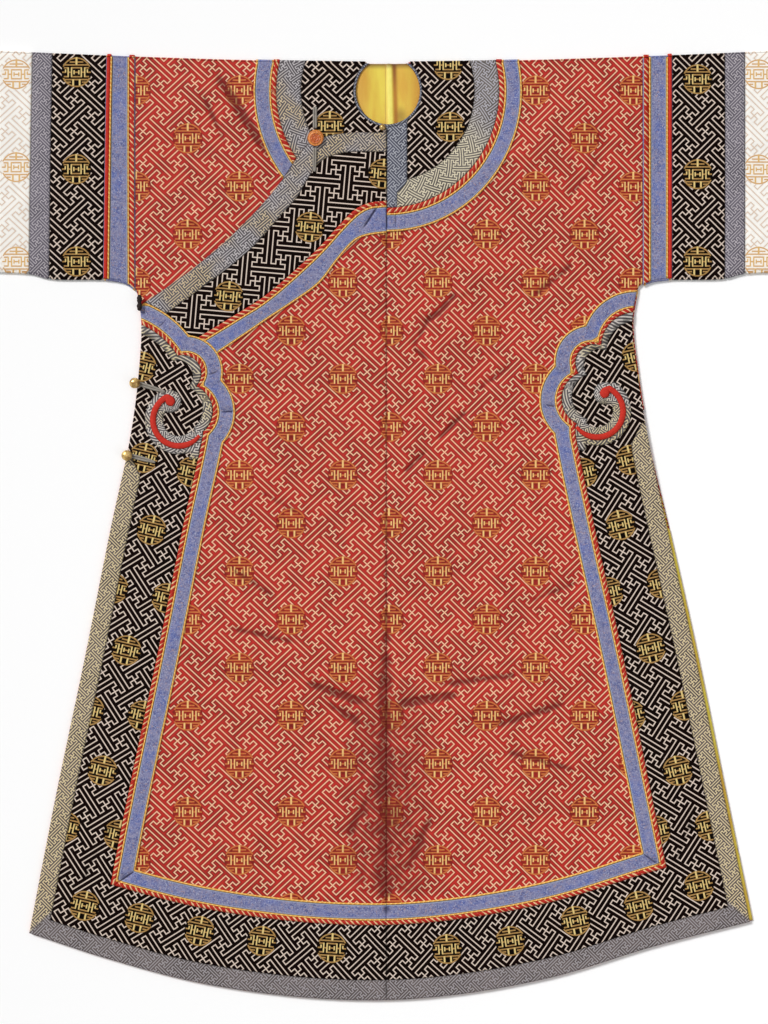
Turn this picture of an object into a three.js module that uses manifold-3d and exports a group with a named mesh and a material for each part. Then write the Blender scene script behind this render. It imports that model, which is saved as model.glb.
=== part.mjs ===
// Lined robe with side slits, laid flat with its front up.
// Millimetres, X to the right, Y towards the neck, Z up, the table at z = 0.
// "left" and "right" are the sides as seen from above, so the wearer's right is at the left.
//
// Every cloth piece is a wall cut out of one lattice of heights: the lattice is the lie of the
// garment, each layer is that lattice moved up by the layers under it, and the piece's outline
// is cut out of it.  So stacked layers follow each other and keep GAP between them.
import * as THREE from 'three';
import { mergeVertices } from 'three/addons/utils/BufferGeometryUtils.js';
import Module from 'manifold-3d';

const wasm = await Module();
wasm.setup();

// ---------------------------------------------------------------- driving dimensions
const HALF_SPAN = 586; // centre to the end of a cuff
const WALL = 1.6; // outer silk with its backing
const LINING = 1; // yellow satin
const TRIM = 1; // bands, edgings and ribbons
const CORD = 2; // twisted cords and pipings
const GAP = 0.3; // between layers and across a seam
const SEAM = GAP / 2;

const LEVEL_LINING = WALL + GAP;
const LEVEL_FRONT = LEVEL_LINING + LINING + GAP;
const LEVEL_TRIM = LEVEL_FRONT + WALL + GAP;
const LEVEL_SCROLL = LEVEL_TRIM + TRIM + GAP;
const LEVEL_CURL = LEVEL_SCROLL + TRIM + GAP;
const LAP = WALL + GAP; // rise of the overlap where it lies on the front below it

const CELL = 80; // pitch of the height lattice
const LOFT = 2.5; // how far the front stands off the back inside the outline
const LOFT_REACH = 130; // distance from the outline at which the full loft is reached
const PAST = 4; // how far a swept edge runs past the seam that cuts it
const FOLD_LEG = 1.5; // straight part of a folded edge, which runs into the walls
const LAP_REACH = 190; // distance from the overlap's edge at which it is down on the lining again
const LINING_INSET = 1.5;
const PRISM = 80; // height of the cutting prisms
const BEYOND = 800; // clear of the garment on every side

// ---------------------------------------------------------------- the cut of the garment
const NECK = { x: 2, y: 650, radius: 48, tall: 1.05 };
const FOLD_STOPS = { left: -35, right: 45 }; // the shoulder folds end here, beside the neck
const SHOULDER_LOW = 691; // fold line at the neck
const SHOULDER_RISE = 17.9; // extra height of the fold line at the cuffs

// Side edges from the armpit to the slit's corner; "back" is the right edge of the back panel,
// which stands out past the front below the slit's top.
const SIDES = [
  { y: 352, left: -374, right: 375, back: 375 },
  { y: 305, left: -367, right: 368, back: 368 },
  { y: 225, left: -371, right: 376, back: 376 },
  { y: 135, left: -383, right: 391, back: 391 },
  { y: 0, left: -412, right: 419, back: 423 },
  { y: -200, left: -452, right: 463, back: 468 },
  { y: -400, left: -494, right: 504, back: 509 },
];
const CORNERS = { left: [-535, -611], right: [544, -594], back: [549, -592.5] };
const SLIT_TOP = 165; // the right side seam ends here
const ARMPIT = { left: 354, right: 363.5 }; // height of each body half at its sleeve seam

const HEM = [
  { x: -422, y: -648 },
  { x: -272, y: -687 },
  { x: -92, y: -709.5 },
  { x: 60, y: -708 },
  { x: 240, y: -679 },
  { x: 400, y: -631 },
];

// Underside of a sleeve, x from the centre, the same on both sleeves.
const SLEEVE = [
  { x: HALF_SPAN, y: 381 },
  { x: 533, y: 378 },
  { x: 505, y: 371 },
  { x: 422, y: 369 },
  { x: 390, y: 363 },
  { x: 374, y: 351 },
];

// Seams across the sleeves: x at the shoulder fold ("top") and at the underside ("low").
const SLEEVE_SEAMS = {
  left: {
    body: [-376, -376],
    band: [-419, -425],
    edging: [-500, -506],
    cuff: [-530, -536],
    end: [-HALF_SPAN, -HALF_SPAN],
  },
  right: {
    body: [384, 384],
    band: [428, 428],
    edging: [507, 507],
    cuff: [537, 537],
    end: [HALF_SPAN, HALF_SPAN],
  },
};

// Cords on the sleeve's ribbon, as distances outward from its inner and from its outer seam.
const SLEEVE_CORDS = { twist: [1.5, 9], piping: [-6.5, -1.5] };

// Lines of the overlap, rows of [x, y] from the centre seam down to the armpit.
const OVERLAP = {
  edge: [[0, 587], [-62, 586], [-97, 579], [-118, 568], [-130, 555], [-151, 523], [-190, 475], [-265, 403],
    [-344, 345], [-400, 308]],
  band: [[0, 558], [-62, 557], [-92, 548], [-105, 537], [-120, 514], [-134, 490], [-151, 471], [-205, 411],
    [-280, 352], [-400, 268]],
  ribbon: [[0, 478], [-25, 475], [-42, 466], [-65, 444], [-91, 415], [-115, 391], [-178, 336], [-220, 309],
    [-400, 201]],
  field: [[0, 437], [-29, 433], [-46, 426], [-72, 398], [-100, 362], [-138, 334], [-176, 309], [-214, 283],
    [-400, 158]],
};
const UNDERLAP = { x: 50, y: -60 }; // how far the front below reaches in under the overlap

// Rings of the collar, radii from the neck's centre.
const COLLAR = { binding: 51.5, band: 130, edging: 167, twist: 175, ribbon: 201 };
const BINDING_LOW = 592; // the neck's binding stops here, where the overlap covers it

// Upright strip below the neck, corners [x, y] from the centre seam round to it again.
const STRIP = [[0, 620], [31, 620], [31, 512], [16, 497], [16, 466], [0, 466]];

// Heads of the slit borders: three lobes [x, y, radius] from the top down, the root on the edge
// towards which inner outlines shrink, the crown that fills in between the lobes, the lowest point
// of the lobes' lining, the top of the edging, and the scroll with its tip inside the lobes.
const HEADS = {
  left: {
    lobes: [[-415, 191, 125.5], [-299.5, 229, 29], [-295.5, 169, 43]],
    root: [-373, 195],
    crown: [-373, 262],
    foot: 116,
    edgingTop: 112,
    scroll: [-310.5, 157],
    tip: [-324, 185],
  },
  right: {
    lobes: [[373, 270, 55.5], [306, 244.5, 29.7], [298.3, 186.8, 44]],
    root: [380, 215],
    crown: [373, 262],
    foot: 129,
    edgingTop: 160,
    scroll: [315, 170],
    tip: [327, 197],
  },
};
const HEAD_REACH = 110; // root to lobe, which an inner outline shrinks in proportion to
const HEAD_OUT = 460; // past the side edge beside the head
const HEAD_JOIN = { low: 100, high: 150, side: 140 }; // heights where the head runs into the side border
const BORDER_SIDE = 115; // side border, across, from the edge to its ribbon
const BORDER_HEM = 120; // hem border, up, from the edge to its ribbon
const RIBBON = 26;
const TWIST = 7;
const EDGING_SIDE = 28;
const EDGING_HEM = 30;
const EDGING_TAPER = 40; // length over which the side edging narrows to its point
const HEAD_EDGING = 13; // grey strip that lines the lobes

// The scroll is a ring open from one angle to another, with a round tip; the curl lies on it.
const SCROLL = { inner: 24, outer: 51, tip: 17 };
const CURL = { inner: 34, outer: 43.5, tip: 8 };
const SCROLL_OPEN = { from: 62, to: 220 };

// Largest folds of the front: middle, direction in degrees, length, width and height.
const FOLDS = [
  { x: -240, y: 610, turn: -50, length: 240, width: 90, height: 3 },
  { x: -160, y: -180, turn: -28, length: 320, width: 95, height: 3 },
  { x: 60, y: 330, turn: -28, length: 260, width: 90, height: 2.6 },
  { x: 160, y: -262, turn: 4, length: 340, width: 95, height: 2.6 },
  { x: 240, y: -380, turn: 34, length: 280, width: 90, height: 2.2 },
  { x: 220, y: 240, turn: 62, length: 260, width: 90, height: 2.4 },
  { x: -200, y: 80, turn: 50, length: 280, width: 90, height: 1.8 },
  { x: 240, y: 590, turn: 40, length: 240, width: 90, height: 2 },
  { x: 0, y: -480, turn: 90, length: 360, width: 85, height: 2 },
];

// ---------------------------------------------------------------- outline curves
const clamp = (value, low, high) => Math.min(high, Math.max(low, value));
const smooth = (value) => {
  const t = clamp(value, 0, 1);
  return t * t * (3 - 2 * t);
};
const shoulderY = (x) => SHOULDER_LOW + SHOULDER_RISE * (Math.abs(x) / HALF_SPAN) ** 1.6;

// Smooth line through rows of [x, y].
function curveThrough(rows, steps) {
  const points = rows.map(([x, y]) => new THREE.Vector3(x, y, 0));
  const curve = new THREE.CatmullRomCurve3(points, false, 'centripetal');
  return curve.getPoints(steps).map((point) => [point.x, point.y]);
}

const sideLine = (column) => curveThrough([...SIDES.map((row) => [row[column], row.y]), CORNERS[column]], 16);
const hemLine = curveThrough([CORNERS.left, ...HEM.map((row) => [row.x, row.y]), CORNERS.right], 20);
const sleeveLine = curveThrough(SLEEVE.map((row) => [row.x, row.y]), 8);

function shoulderLine(from, to, steps = 12) {
  return Array.from({ length: steps + 1 }, (_, i) => {
    const x = from + ((to - from) * i) / steps;
    return [x, shoulderY(x)];
  });
}

const shifted = (line, dx, dy) => line.map(([x, y]) => [x + dx, y + dy]);

// ---------------------------------------------------------------- the lie of the cloth
const outline = [
  ...shoulderLine(-HALF_SPAN, HALF_SPAN, 16),
  ...sleeveLine,
  ...sideLine('right'),
  ...hemLine.slice(1, -1).reverse(),
  ...sideLine('left').reverse(),
  ...sleeveLine.map(([x, y]) => [-x, y]).reverse(),
];

function distanceToLine(x, y, line, closed) {
  let nearest = Infinity;
  for (let i = closed ? 0 : 1; i < line.length; i += 1) {
    const [ax, ay] = line[(i + line.length - 1) % line.length];
    const [bx, by] = line[i];
    const isCuffEnd = closed && Math.abs(ax) > HALF_SPAN - 1 && Math.abs(bx) > HALF_SPAN - 1;
    if (isCuffEnd) continue;
    const along = ((x - ax) * (bx - ax) + (y - ay) * (by - ay)) / ((bx - ax) ** 2 + (by - ay) ** 2 || 1);
    const t = clamp(along, 0, 1);
    nearest = Math.min(nearest, Math.hypot(x - ax - t * (bx - ax), y - ay - t * (by - ay)));
  }
  return nearest;
}

function isInside(x, y, line) {
  let inside = false;
  for (let i = 0, j = line.length - 1; i < line.length; j = i, i += 1) {
    const [ax, ay] = line[i];
    const [bx, by] = line[j];
    if (ay > y !== by > y && x < ((bx - ax) * (y - ay)) / (by - ay) + ax) inside = !inside;
  }
  return inside;
}

function foldHeight(x, y, fold) {
  const turn = THREE.MathUtils.degToRad(fold.turn);
  const along = (x - fold.x) * Math.cos(turn) + (y - fold.y) * Math.sin(turn);
  const across = (y - fold.y) * Math.cos(turn) - (x - fold.x) * Math.sin(turn);
  const ends = smooth(2 - (2 * Math.abs(along)) / fold.length);
  return fold.height * smooth(1 - Math.abs(across) / fold.width) * ends;
}

// Rise of the front above its level, and the extra rise of the overlap near its edge.
function lie(x, y) {
  if (!isInside(clamp(x, 1 - HALF_SPAN, HALF_SPAN - 1), y, outline)) return 0;
  const reach = distanceToLine(x, y, outline, true);
  const folds = FOLDS.reduce((sum, fold) => sum + foldHeight(x, y, fold), 0);
  return LOFT * smooth(reach / LOFT_REACH) + folds * smooth(reach / (LOFT_REACH / 2));
}
const lap = (x, y) => (
  LAP * clamp((LAP_REACH - distanceToLine(x, y, OVERLAP.edge, false)) / CELL, 0, 1));

const heights = new Map();
function latticeHeight(i, j, isLapped) {
  const key = `${i},${j},${isLapped}`;
  if (!heights.has(key)) {
    const [x, y] = [i * CELL, j * CELL];
    heights.set(key, lie(x, y) + (isLapped ? lap(x, y) : 0));
  }
  return heights.get(key);
}

// ---------------------------------------------------------------- solids
function solidOf(geometry) {
  geometry.deleteAttribute('normal');
  geometry.deleteAttribute('uv');
  const merged = mergeVertices(geometry, 1e-4);
  return new wasm.Manifold(new wasm.Mesh({
    numProp: 3,
    vertProperties: new Float32Array(merged.attributes.position.array),
    triVerts: new Uint32Array(merged.index.array),
  }));
}

// Upright prism over a closed outline, used to cut the walls.
function area(points) {
  const shape = new THREE.Shape(points.map(([x, y]) => new THREE.Vector2(x, y)));
  const geometry = new THREE.ExtrudeGeometry(shape, { depth: PRISM, bevelEnabled: false });
  return solidOf(geometry.translate(0, 0, -PRISM / 4));
}

function ellipse(x, y, radiusX, radiusY = radiusX, sides = 24) {
  const curve = new THREE.EllipseCurve(x, y, radiusX, radiusY);
  return area(curve.getPoints(sides).slice(0, sides).map((point) => [point.x, point.y]));
}

const rectangle = (left, low, right, high) => area([[left, low], [right, low], [right, high], [left, high]]);

const halfPlane = (side) => (side === 'left'
  ? rectangle(-BEYOND, -BEYOND, -SEAM, BEYOND)
  : rectangle(SEAM, -BEYOND, BEYOND, BEYOND));

const joined = (solids) => solids.reduce((sum, next) => sum.add(next));

// Wall that lies flat, over the whole of a region.
function flatWall(region, level, thickness) {
  const [width, length] = [2.2 * HALF_SPAN, 2.4 * SHOULDER_LOW];
  const slab = new THREE.BoxGeometry(width, length, thickness).translate(0, 0, level + thickness / 2);
  return solidOf(slab).intersect(region);
}

// Wall of the given thickness on the lattice, over the whole of a region.
function wall(region, level, thickness, lay = 'front') {
  const box = region.boundingBox();
  const [i0, i1] = [Math.floor(box.min[0] / CELL), Math.ceil(box.max[0] / CELL)];
  const [j0, j1] = [Math.floor(box.min[1] / CELL), Math.ceil(box.max[1] / CELL)];
  const columns = i1 - i0 + 1;
  const count = columns * (j1 - j0 + 1);
  const positions = [];
  for (const rise of [0, thickness]) {
    for (let j = j0; j <= j1; j += 1) {
      for (let i = i0; i <= i1; i += 1) {
        positions.push(i * CELL, j * CELL, level + rise + latticeHeight(i, j, lay === 'lapped'));
      }
    }
  }
  const index = [];
  const quad = (a, b, c, d) => index.push(a, b, c, a, c, d);
  for (let j = 0; j < j1 - j0; j += 1) {
    for (let i = 0; i < i1 - i0; i += 1) {
      const a = j * columns + i;
      quad(a + count, a + 1 + count, a + 1 + columns + count, a + columns + count);
      index.push(a, a + 1 + columns, a + 1, a, a + columns, a + 1 + columns);
    }
  }
  const rim = [];
  for (let i = 0; i < columns - 1; i += 1) rim.push(i);
  for (let j = 0; j < j1 - j0; j += 1) rim.push(j * columns + columns - 1);
  for (let i = columns - 1; i > 0; i -= 1) rim.push((j1 - j0) * columns + i);
  for (let j = j1 - j0; j > 0; j -= 1) rim.push(j * columns);
  rim.forEach((a, k) => {
    const b = rim[(k + 1) % rim.length];
    quad(a, b, b + count, a + count);
  });
  const geometry = new THREE.BufferGeometry();
  geometry.setAttribute('position', new THREE.Float32BufferAttribute(positions, 3));
  geometry.setIndex(index);
  return solidOf(geometry).intersect(region);
}

// Rounded edge that joins a back wall to the front wall above it, swept along a line.  It bulges
// to the left of the line's direction, or to its right when mirrored.
function foldedEdge(line, isMirrored = false) {
  const middle = (LEVEL_FRONT + WALL) / 2;
  const [outer, inner, leg] = [middle, middle - WALL, FOLD_LEG];
  const arc = (radius, from, to) => Array.from({ length: 4 }, (_, i) => {
    const angle = THREE.MathUtils.degToRad(from + ((to - from) * i) / 3);
    return [radius * Math.sin(angle), radius * Math.cos(angle)];
  });
  const profile = [
    [-leg, outer],
    ...arc(outer, 0, 180),
    [-leg, -outer],
    [-leg, -inner],
    ...arc(inner, 180, 0),
    [-leg, inner],
  ];
  const side = isMirrored ? -1 : 1;
  const shape = new THREE.Shape(profile.map(([out, up]) => new THREE.Vector2(-up, side * out)));
  const path = new THREE.CatmullRomCurve3(line.map(([x, y]) => new THREE.Vector3(x, y, middle)));
  const options = { steps: line.length - 1, extrudePath: path, bevelEnabled: false };
  return solidOf(new THREE.ExtrudeGeometry(shape, options));
}

// ---------------------------------------------------------------- regions of the cut
const bodyOutline = (rightColumn) => [
  ...shoulderLine(SLEEVE_SEAMS.left.body[0] + SEAM, SLEEVE_SEAMS.right.body[0] - SEAM, 12),
  [SLEEVE_SEAMS.right.body[1] - SEAM, ARMPIT.right],
  ...sideLine(rightColumn),
  ...hemLine.slice(1, -1).reverse(),
  ...sideLine('left').reverse(),
  [SLEEVE_SEAMS.left.body[1] + SEAM, ARMPIT.left],
];
const frontBody = area(bodyOutline('right'));
const backBody = area(bodyOutline('back'));
const neckRing = (radius) => ellipse(NECK.x, NECK.y, radius, radius * NECK.tall, 32);
const neckHole = neckRing(NECK.radius);

// Everything below a line of the overlap, moved by dx and dy, on the left half.
const below = (line, dx = 0, dy = 0) => area([
  ...shifted(line, dx, dy),
  [-BEYOND, line.at(-1)[1] + dy - 200],
  [-BEYOND, -BEYOND],
  [BEYOND, -BEYOND],
  [BEYOND, line[0][1] + dy],
]).intersect(halfPlane('left'));

const front = {
  left: frontBody.intersect(below(OVERLAP.edge)),
  right: frontBody.intersect(halfPlane('right')).subtract(neckHole),
};
const underFront = frontBody.intersect(halfPlane('left')).subtract(neckHole)
  .subtract(below(OVERLAP.edge, UNDERLAP.x, UNDERLAP.y));
const aboveOverlap = frontBody.intersect(halfPlane('left')).subtract(below(OVERLAP.edge, 0, GAP));

// Everything below the hem line moved up by "height", carried on past both corners.
function hemArea(height) {
  const line = shifted(hemLine, 0, height);
  const [[leftX, leftY], [rightX, rightY]] = [line[0], line.at(-1)];
  const past = [[leftX - 90, leftY + 28], ...line, [rightX + 90, rightY + 22]];
  return area([...past, [BEYOND, -BEYOND], [-BEYOND, -BEYOND]]);
}

// Border of one side, whose inner boundary is moved by "grow" away from the edge.
function border(side, grow) {
  const sign = side === 'left' ? -1 : 1;
  const { root, crown } = HEADS[side];
  const scale = 1 + Math.min(grow, 0) / HEAD_REACH;
  const lobes = HEADS[side].lobes.map(([x, y, radius]) => [
    root[0] + (x - root[0]) * scale,
    root[1] + (y - root[1]) * scale,
    radius * scale + Math.max(grow, 0),
  ]);
  const inner = sideLine(side).filter(([, y]) => y < HEAD_JOIN.side)
    .map(([x, y]) => [x - sign * (BORDER_SIDE + grow), y]);
  const [[innerX, innerY]] = inner;
  const filler = [
    [lobes[2][0], lobes[2][1]],
    [lobes[1][0], lobes[1][1]],
    crown,
    [sign * HEAD_OUT, crown[1]],
    [sign * HEAD_OUT, HEAD_JOIN.low],
    [innerX, HEAD_JOIN.low],
    [innerX, innerY + 12],
  ];
  const strip = [
    [innerX, HEAD_JOIN.high],
    ...inner,
    [inner.at(-1)[0], -BEYOND],
    [sign * BEYOND, -BEYOND],
    [sign * BEYOND, HEAD_JOIN.high],
  ];
  return joined([
    ...lobes.map(([x, y, radius]) => ellipse(x, y, radius)),
    area(side === 'left' ? filler.reverse() : filler),
    area(strip),
    hemArea(BORDER_HEM + grow),
  ]).intersect(front[side]);
}

// Edging that follows the slit and the hem, widening from a point at the slit's top.
function edgingArea(side, grow = 0) {
  const sign = side === 'left' ? -1 : 1;
  const { edgingTop } = HEADS[side];
  const line = sideLine(side).filter(([, y]) => y < edgingTop);
  const strip = line.map(([x, y]) => [
    x - sign * (grow + EDGING_SIDE * clamp((edgingTop - y) / EDGING_TAPER, 0.1, 1)),
    y,
  ]);
  return area([
    ...strip,
    [strip.at(-1)[0], -BEYOND],
    [sign * BEYOND, -BEYOND],
    [sign * BEYOND, strip[0][1]],
  ]).add(hemArea(EDGING_HEM + grow));
}

function wedge(x, y, from, to, reach) {
  const angles = Array.from({ length: 7 }, (_, i) => THREE.MathUtils.degToRad(from + ((to - from) * i) / 6));
  return area([[x, y], ...angles.map((angle) => [x + reach * Math.cos(angle), y + reach * Math.sin(angle)])]);
}

function openRing(side, ring) {
  const { scroll: [x, y], tip } = HEADS[side];
  const { from, to } = SCROLL_OPEN;
  const [start, end] = side === 'left' ? [180 - to, 180 - from] : [from, to];
  const gap = wedge(x, y, start, end, 2 * ring.outer);
  return ellipse(x, y, ring.outer).subtract(ellipse(x, y, ring.inner)).subtract(gap)
    .add(ellipse(tip[0], tip[1], ring.tip));
}

// ---------------------------------------------------------------- scene graph
const robe = new THREE.Group();

const FINISH = {
  red: { color: 0xa8302a, roughness: 0.55 },
  black: { color: 0x17130f, roughness: 0.6 },
  grey: { color: 0x8a8580, roughness: 0.6 },
  blue: { color: 0x6674a6, roughness: 0.65 },
  cream: { color: 0xe6dccb, roughness: 0.55 },
  yellow: { color: 0xe0c24a, roughness: 0.35 },
  cord: { color: 0xc8562c, roughness: 0.7 },
  scarlet: { color: 0xbf2f22, roughness: 0.7 },
  carved: { color: 0xc98245, roughness: 0.45 },
  brass: { color: 0xa88a4a, roughness: 0.35, metalness: 0.9 },
  dark: { color: 0x2a2420, roughness: 0.7 },
};

function addPiece(name, finish, solid) {
  const mesh = solid.getMesh();
  const geometry = new THREE.BufferGeometry();
  geometry.setAttribute('position', new THREE.Float32BufferAttribute(mesh.vertProperties, 3));
  geometry.setIndex(new THREE.Uint32BufferAttribute(mesh.triVerts, 1));
  geometry.computeVertexNormals();
  const material = new THREE.MeshStandardMaterial({ metalness: 0, ...FINISH[finish] });
  const piece = new THREE.Mesh(geometry, material);
  piece.name = name;
  robe.add(piece);
}

const trim = (region, lay) => wall(region, LEVEL_TRIM, TRIM, lay);
const cord = (region, lay) => wall(region, LEVEL_TRIM, CORD, lay);

// Body halves: each is one length of silk over the shoulder fold, back and front.
function addBody() {
  const seams = { left: SLEEVE_SEAMS.left.body[0] + SEAM, right: SLEEVE_SEAMS.right.body[0] - SEAM };
  const betweenSleeves = rectangle(seams.left, -BEYOND, seams.right, BEYOND);
  const fold = (line) => foldedEdge(line).intersect(betweenSleeves);
  const shoulder = {
    left: fold(shoulderLine(seams.left - PAST, FOLD_STOPS.left, 8)),
    right: fold(shoulderLine(FOLD_STOPS.right, seams.right + PAST, 8)),
  };
  const sideSeam = foldedEdge(sideLine('right').filter(([, y]) => y > SLIT_TOP));
  const back = {
    left: flatWall(backBody.intersect(halfPlane('left')), 0, WALL),
    right: flatWall(backBody.intersect(halfPlane('right')), 0, WALL),
  };
  const onBack = {
    left: wall(underFront, LEVEL_FRONT, WALL),
    right: wall(front.right, LEVEL_FRONT, WALL),
  };
  addPiece('body_left', 'red', joined([back.left, onBack.left, shoulder.left]));
  addPiece('body_right', 'red', joined([back.right, onBack.right, shoulder.right, sideSeam]));
  addPiece('overlap', 'red', wall(front.left, LEVEL_FRONT, WALL, 'lapped'));
  const liningOutline = bodyOutline('back').map(([x, y]) => [
    x - Math.sign(x) * LINING_INSET,
    y - Math.sign(y) * LINING_INSET,
  ]);
  addPiece('lining_back', 'yellow', flatWall(area(liningOutline), LEVEL_LINING, LINING));
}

// Sleeve rings: a front wall, a back wall and two folded edges, open at both ends.
function addSleeve(side) {
  const sign = side === 'left' ? -1 : 1;
  const seams = SLEEVE_SEAMS[side];
  const lowY = (x) => {
    const row = sleeveLine.findIndex(([px]) => px <= Math.abs(x));
    const [ax, ay] = sleeveLine[Math.max(row - 1, 0)];
    const [bx, by] = sleeveLine[Math.max(row, 1)];
    return ay + ((by - ay) * (Math.abs(x) - ax)) / (bx - ax);
  };
  const ring = (from, to) => {
    const [topIn, lowIn] = from.map((x) => x + sign * SEAM);
    const [topOut, lowOut] = to.map((x) => x - sign * SEAM);
    const past = sign * PAST;
    const top = shoulderLine(topIn - past, topOut + past, 2);
    const low = shoulderLine(lowIn - past, lowOut + past, 3).map(([x]) => [x, lowY(x)]);
    const region = area([...top, ...[...low].reverse()]);
    const [high, deep] = [SHOULDER_LOW + 50, ARMPIT.left - 25];
    const betweenSeams = area([[topIn, high], [topOut, high], [lowOut, deep], [lowIn, deep]]);
    return joined([
      flatWall(region, 0, WALL),
      wall(region, LEVEL_FRONT, WALL),
      foldedEdge(top, side === 'left'),
      foldedEdge(low, side === 'right'),
    ]).intersect(betweenSeams);
  };
  addPiece(`sleeve_ribbon_${side}`, 'blue', ring(seams.body, seams.band));
  addPiece(`sleeve_band_${side}`, 'black', ring(seams.band, seams.edging));
  addPiece(`sleeve_edging_${side}`, 'grey', ring(seams.edging, seams.cuff));
  addPiece(`cuff_${side}`, 'cream', ring(seams.cuff, seams.end));
  const strip = ([topIn, lowIn], [topOut, lowOut]) => area([
    [topIn, shoulderY(topIn)],
    [topOut, shoulderY(topOut)],
    [lowOut, lowY(lowOut)],
    [lowIn, lowY(lowIn)],
  ]);
  const beside = ([top, low], distance) => [top + sign * distance, low + sign * distance];
  const between = (seam, [from, to]) => strip(beside(seam, from), beside(seam, to));
  addPiece(`sleeve_twist_${side}`, 'cord', cord(between(seams.body, SLEEVE_CORDS.twist)));
  addPiece(`sleeve_piping_${side}`, 'scarlet', cord(between(seams.band, SLEEVE_CORDS.piping)));
}

function addCollar() {
  const strip = area(STRIP);
  const stripGrown = area(STRIP.map(([x, y]) => [x > 0 ? x + GAP : x - GAP, y]));
  const ring = (inner, outer) => neckRing(outer).subtract(neckRing(inner + GAP));
  const halves = {
    left: aboveOverlap,
    right: frontBody.intersect(halfPlane('right')),
  };
  const aboveBinding = frontBody.intersect(rectangle(-BEYOND, BINDING_LOW, BEYOND, BEYOND));
  addPiece('neck_binding', 'grey', trim(ring(NECK.radius, COLLAR.binding).intersect(aboveBinding)));
  for (const side of ['left', 'right']) {
    const half = side === 'left' ? halves.left : halves.right.subtract(stripGrown);
    const whole = halves[side];
    addPiece(`collar_band_${side}`, 'black', trim(ring(COLLAR.binding, COLLAR.band).intersect(half)));
    addPiece(`collar_edging_${side}`, 'grey', trim(ring(COLLAR.band, COLLAR.edging).intersect(half)));
    addPiece(`collar_twist_${side}`, 'cord', cord(ring(COLLAR.edging, COLLAR.twist).intersect(whole)));
    addPiece(`collar_ribbon_${side}`, 'blue', trim(ring(COLLAR.twist, COLLAR.ribbon).intersect(whole)));
  }
  const besideNeck = ring(COLLAR.binding, COLLAR.edging);
  addPiece('centre_strip', 'grey', trim(strip.intersect(besideNeck).intersect(halves.right)));
}

function addOverlapTrim() {
  const clear = frontBody.subtract(border('left', RIBBON + GAP));
  const between = (upper, lower) => below(upper).subtract(below(lower, 0, GAP)).intersect(clear);
  const twistLine = OVERLAP.ribbon.map(([x, y], i) => [x - (i > 1 ? TWIST / 2 : 0), y + TWIST]);
  addPiece('overlap_edging', 'grey', trim(between(OVERLAP.edge, OVERLAP.band), 'lapped'));
  addPiece('overlap_band', 'black', trim(between(OVERLAP.band, twistLine), 'lapped'));
  addPiece('overlap_twist', 'cord', cord(between(twistLine, OVERLAP.ribbon), 'lapped'));
  addPiece('overlap_ribbon', 'blue', trim(between(OVERLAP.ribbon, OVERLAP.field), 'lapped'));
}

function addBorder(side) {
  const lay = side === 'left' ? 'lapped' : 'front';
  const [ribbon, inner, band] = [border(side, RIBBON), border(side, 0), border(side, -TWIST)];
  const edging = edgingArea(side);
  addPiece(`border_ribbon_${side}`, 'blue', trim(ribbon.subtract(border(side, GAP)), lay));
  addPiece(`border_twist_${side}`, 'cord', cord(inner.subtract(border(side, GAP - TWIST)), lay));
  addPiece(`border_band_${side}`, 'black', trim(band.subtract(edgingArea(side, GAP)), lay));
  addPiece(`border_edging_${side}`, 'grey', trim(edging.intersect(front[side]), lay));
  const { foot } = HEADS[side];
  const head = border(side, -TWIST - GAP).intersect(rectangle(-BEYOND, foot, BEYOND, BEYOND));
  const lobeLining = head.subtract(border(side, -TWIST - HEAD_EDGING));
  const scroll = lobeLining.add(openRing(side, SCROLL).intersect(head));
  addPiece(`scroll_${side}`, 'grey', wall(scroll, LEVEL_SCROLL, TRIM, lay));
  addPiece(`curl_${side}`, 'scarlet', wall(openRing(side, CURL).intersect(head), LEVEL_CURL, CORD, lay));
}

// ---------------------------------------------------------------- fastenings
const DISC = {
  x: -106,
  y: 578,
  radius: 12,
  height: 5,
  profile: [[0, 0], [0.8, 0], [1, 0.35], [0.94, 0.8], [0.72, 1], [0.5, 0.8], [0.3, 0.95], [0, 0.8]],
};
const BALL = { x: -6, y: 594, radius: 4.5 };
const SIDE_BUTTONS = [
  { name: 'button_side_upper', x: -376, y: 212, radius: 8 },
  { name: 'button_side_lower', x: -388, y: 104, radius: 8 },
];
const SIDE_BUTTON_FLATNESS = 0.62;
const KNOT = { x: -369, y: 332, width: 4.5, length: 12, height: 4 };
const LOOPS = [
  { name: 'loop_disc_upper', lay: 'front', points: [[-112, 592], [-103, 592], [-103, 624], [-112, 624]] },
  { name: 'loop_disc_lower', lay: 'lapped', points: [[-111, 531], [-104, 531], [-104, 564], [-111, 564]] },
  { name: 'loop_side_upper', lay: 'lapped', points: [[-374, 208], [-340, 204], [-340, 211], [-374, 216]] },
  { name: 'loop_side_lower', lay: 'lapped', points: [[-386, 100], [-356, 96], [-356, 103], [-386, 108]] },
];

// Height of the lattice's surface at a point, which lies in one of its cell's two triangles.
function surfaceAt(x, y, isLapped) {
  const [i, j] = [Math.floor(x / CELL), Math.floor(y / CELL)];
  const [u, v] = [x / CELL - i, y / CELL - j];
  const low = latticeHeight(i, j, isLapped);
  const high = latticeHeight(i + 1, j + 1, isLapped);
  const corner = u > v ? latticeHeight(i + 1, j, isLapped) : latticeHeight(i, j + 1, isLapped);
  return u > v
    ? low + (corner - low) * u + (high - corner) * v
    : low + (corner - low) * v + (high - corner) * u;
}

function highestUnder({ x, y }, radius, isLapped) {
  const ring = Array.from({ length: 12 }, (_, i) => (i * Math.PI) / 6);
  return Math.max(surfaceAt(x, y, isLapped), ...ring.map((angle) => (
    surfaceAt(x + radius * Math.cos(angle), y + radius * Math.sin(angle), isLapped))));
}

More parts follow.
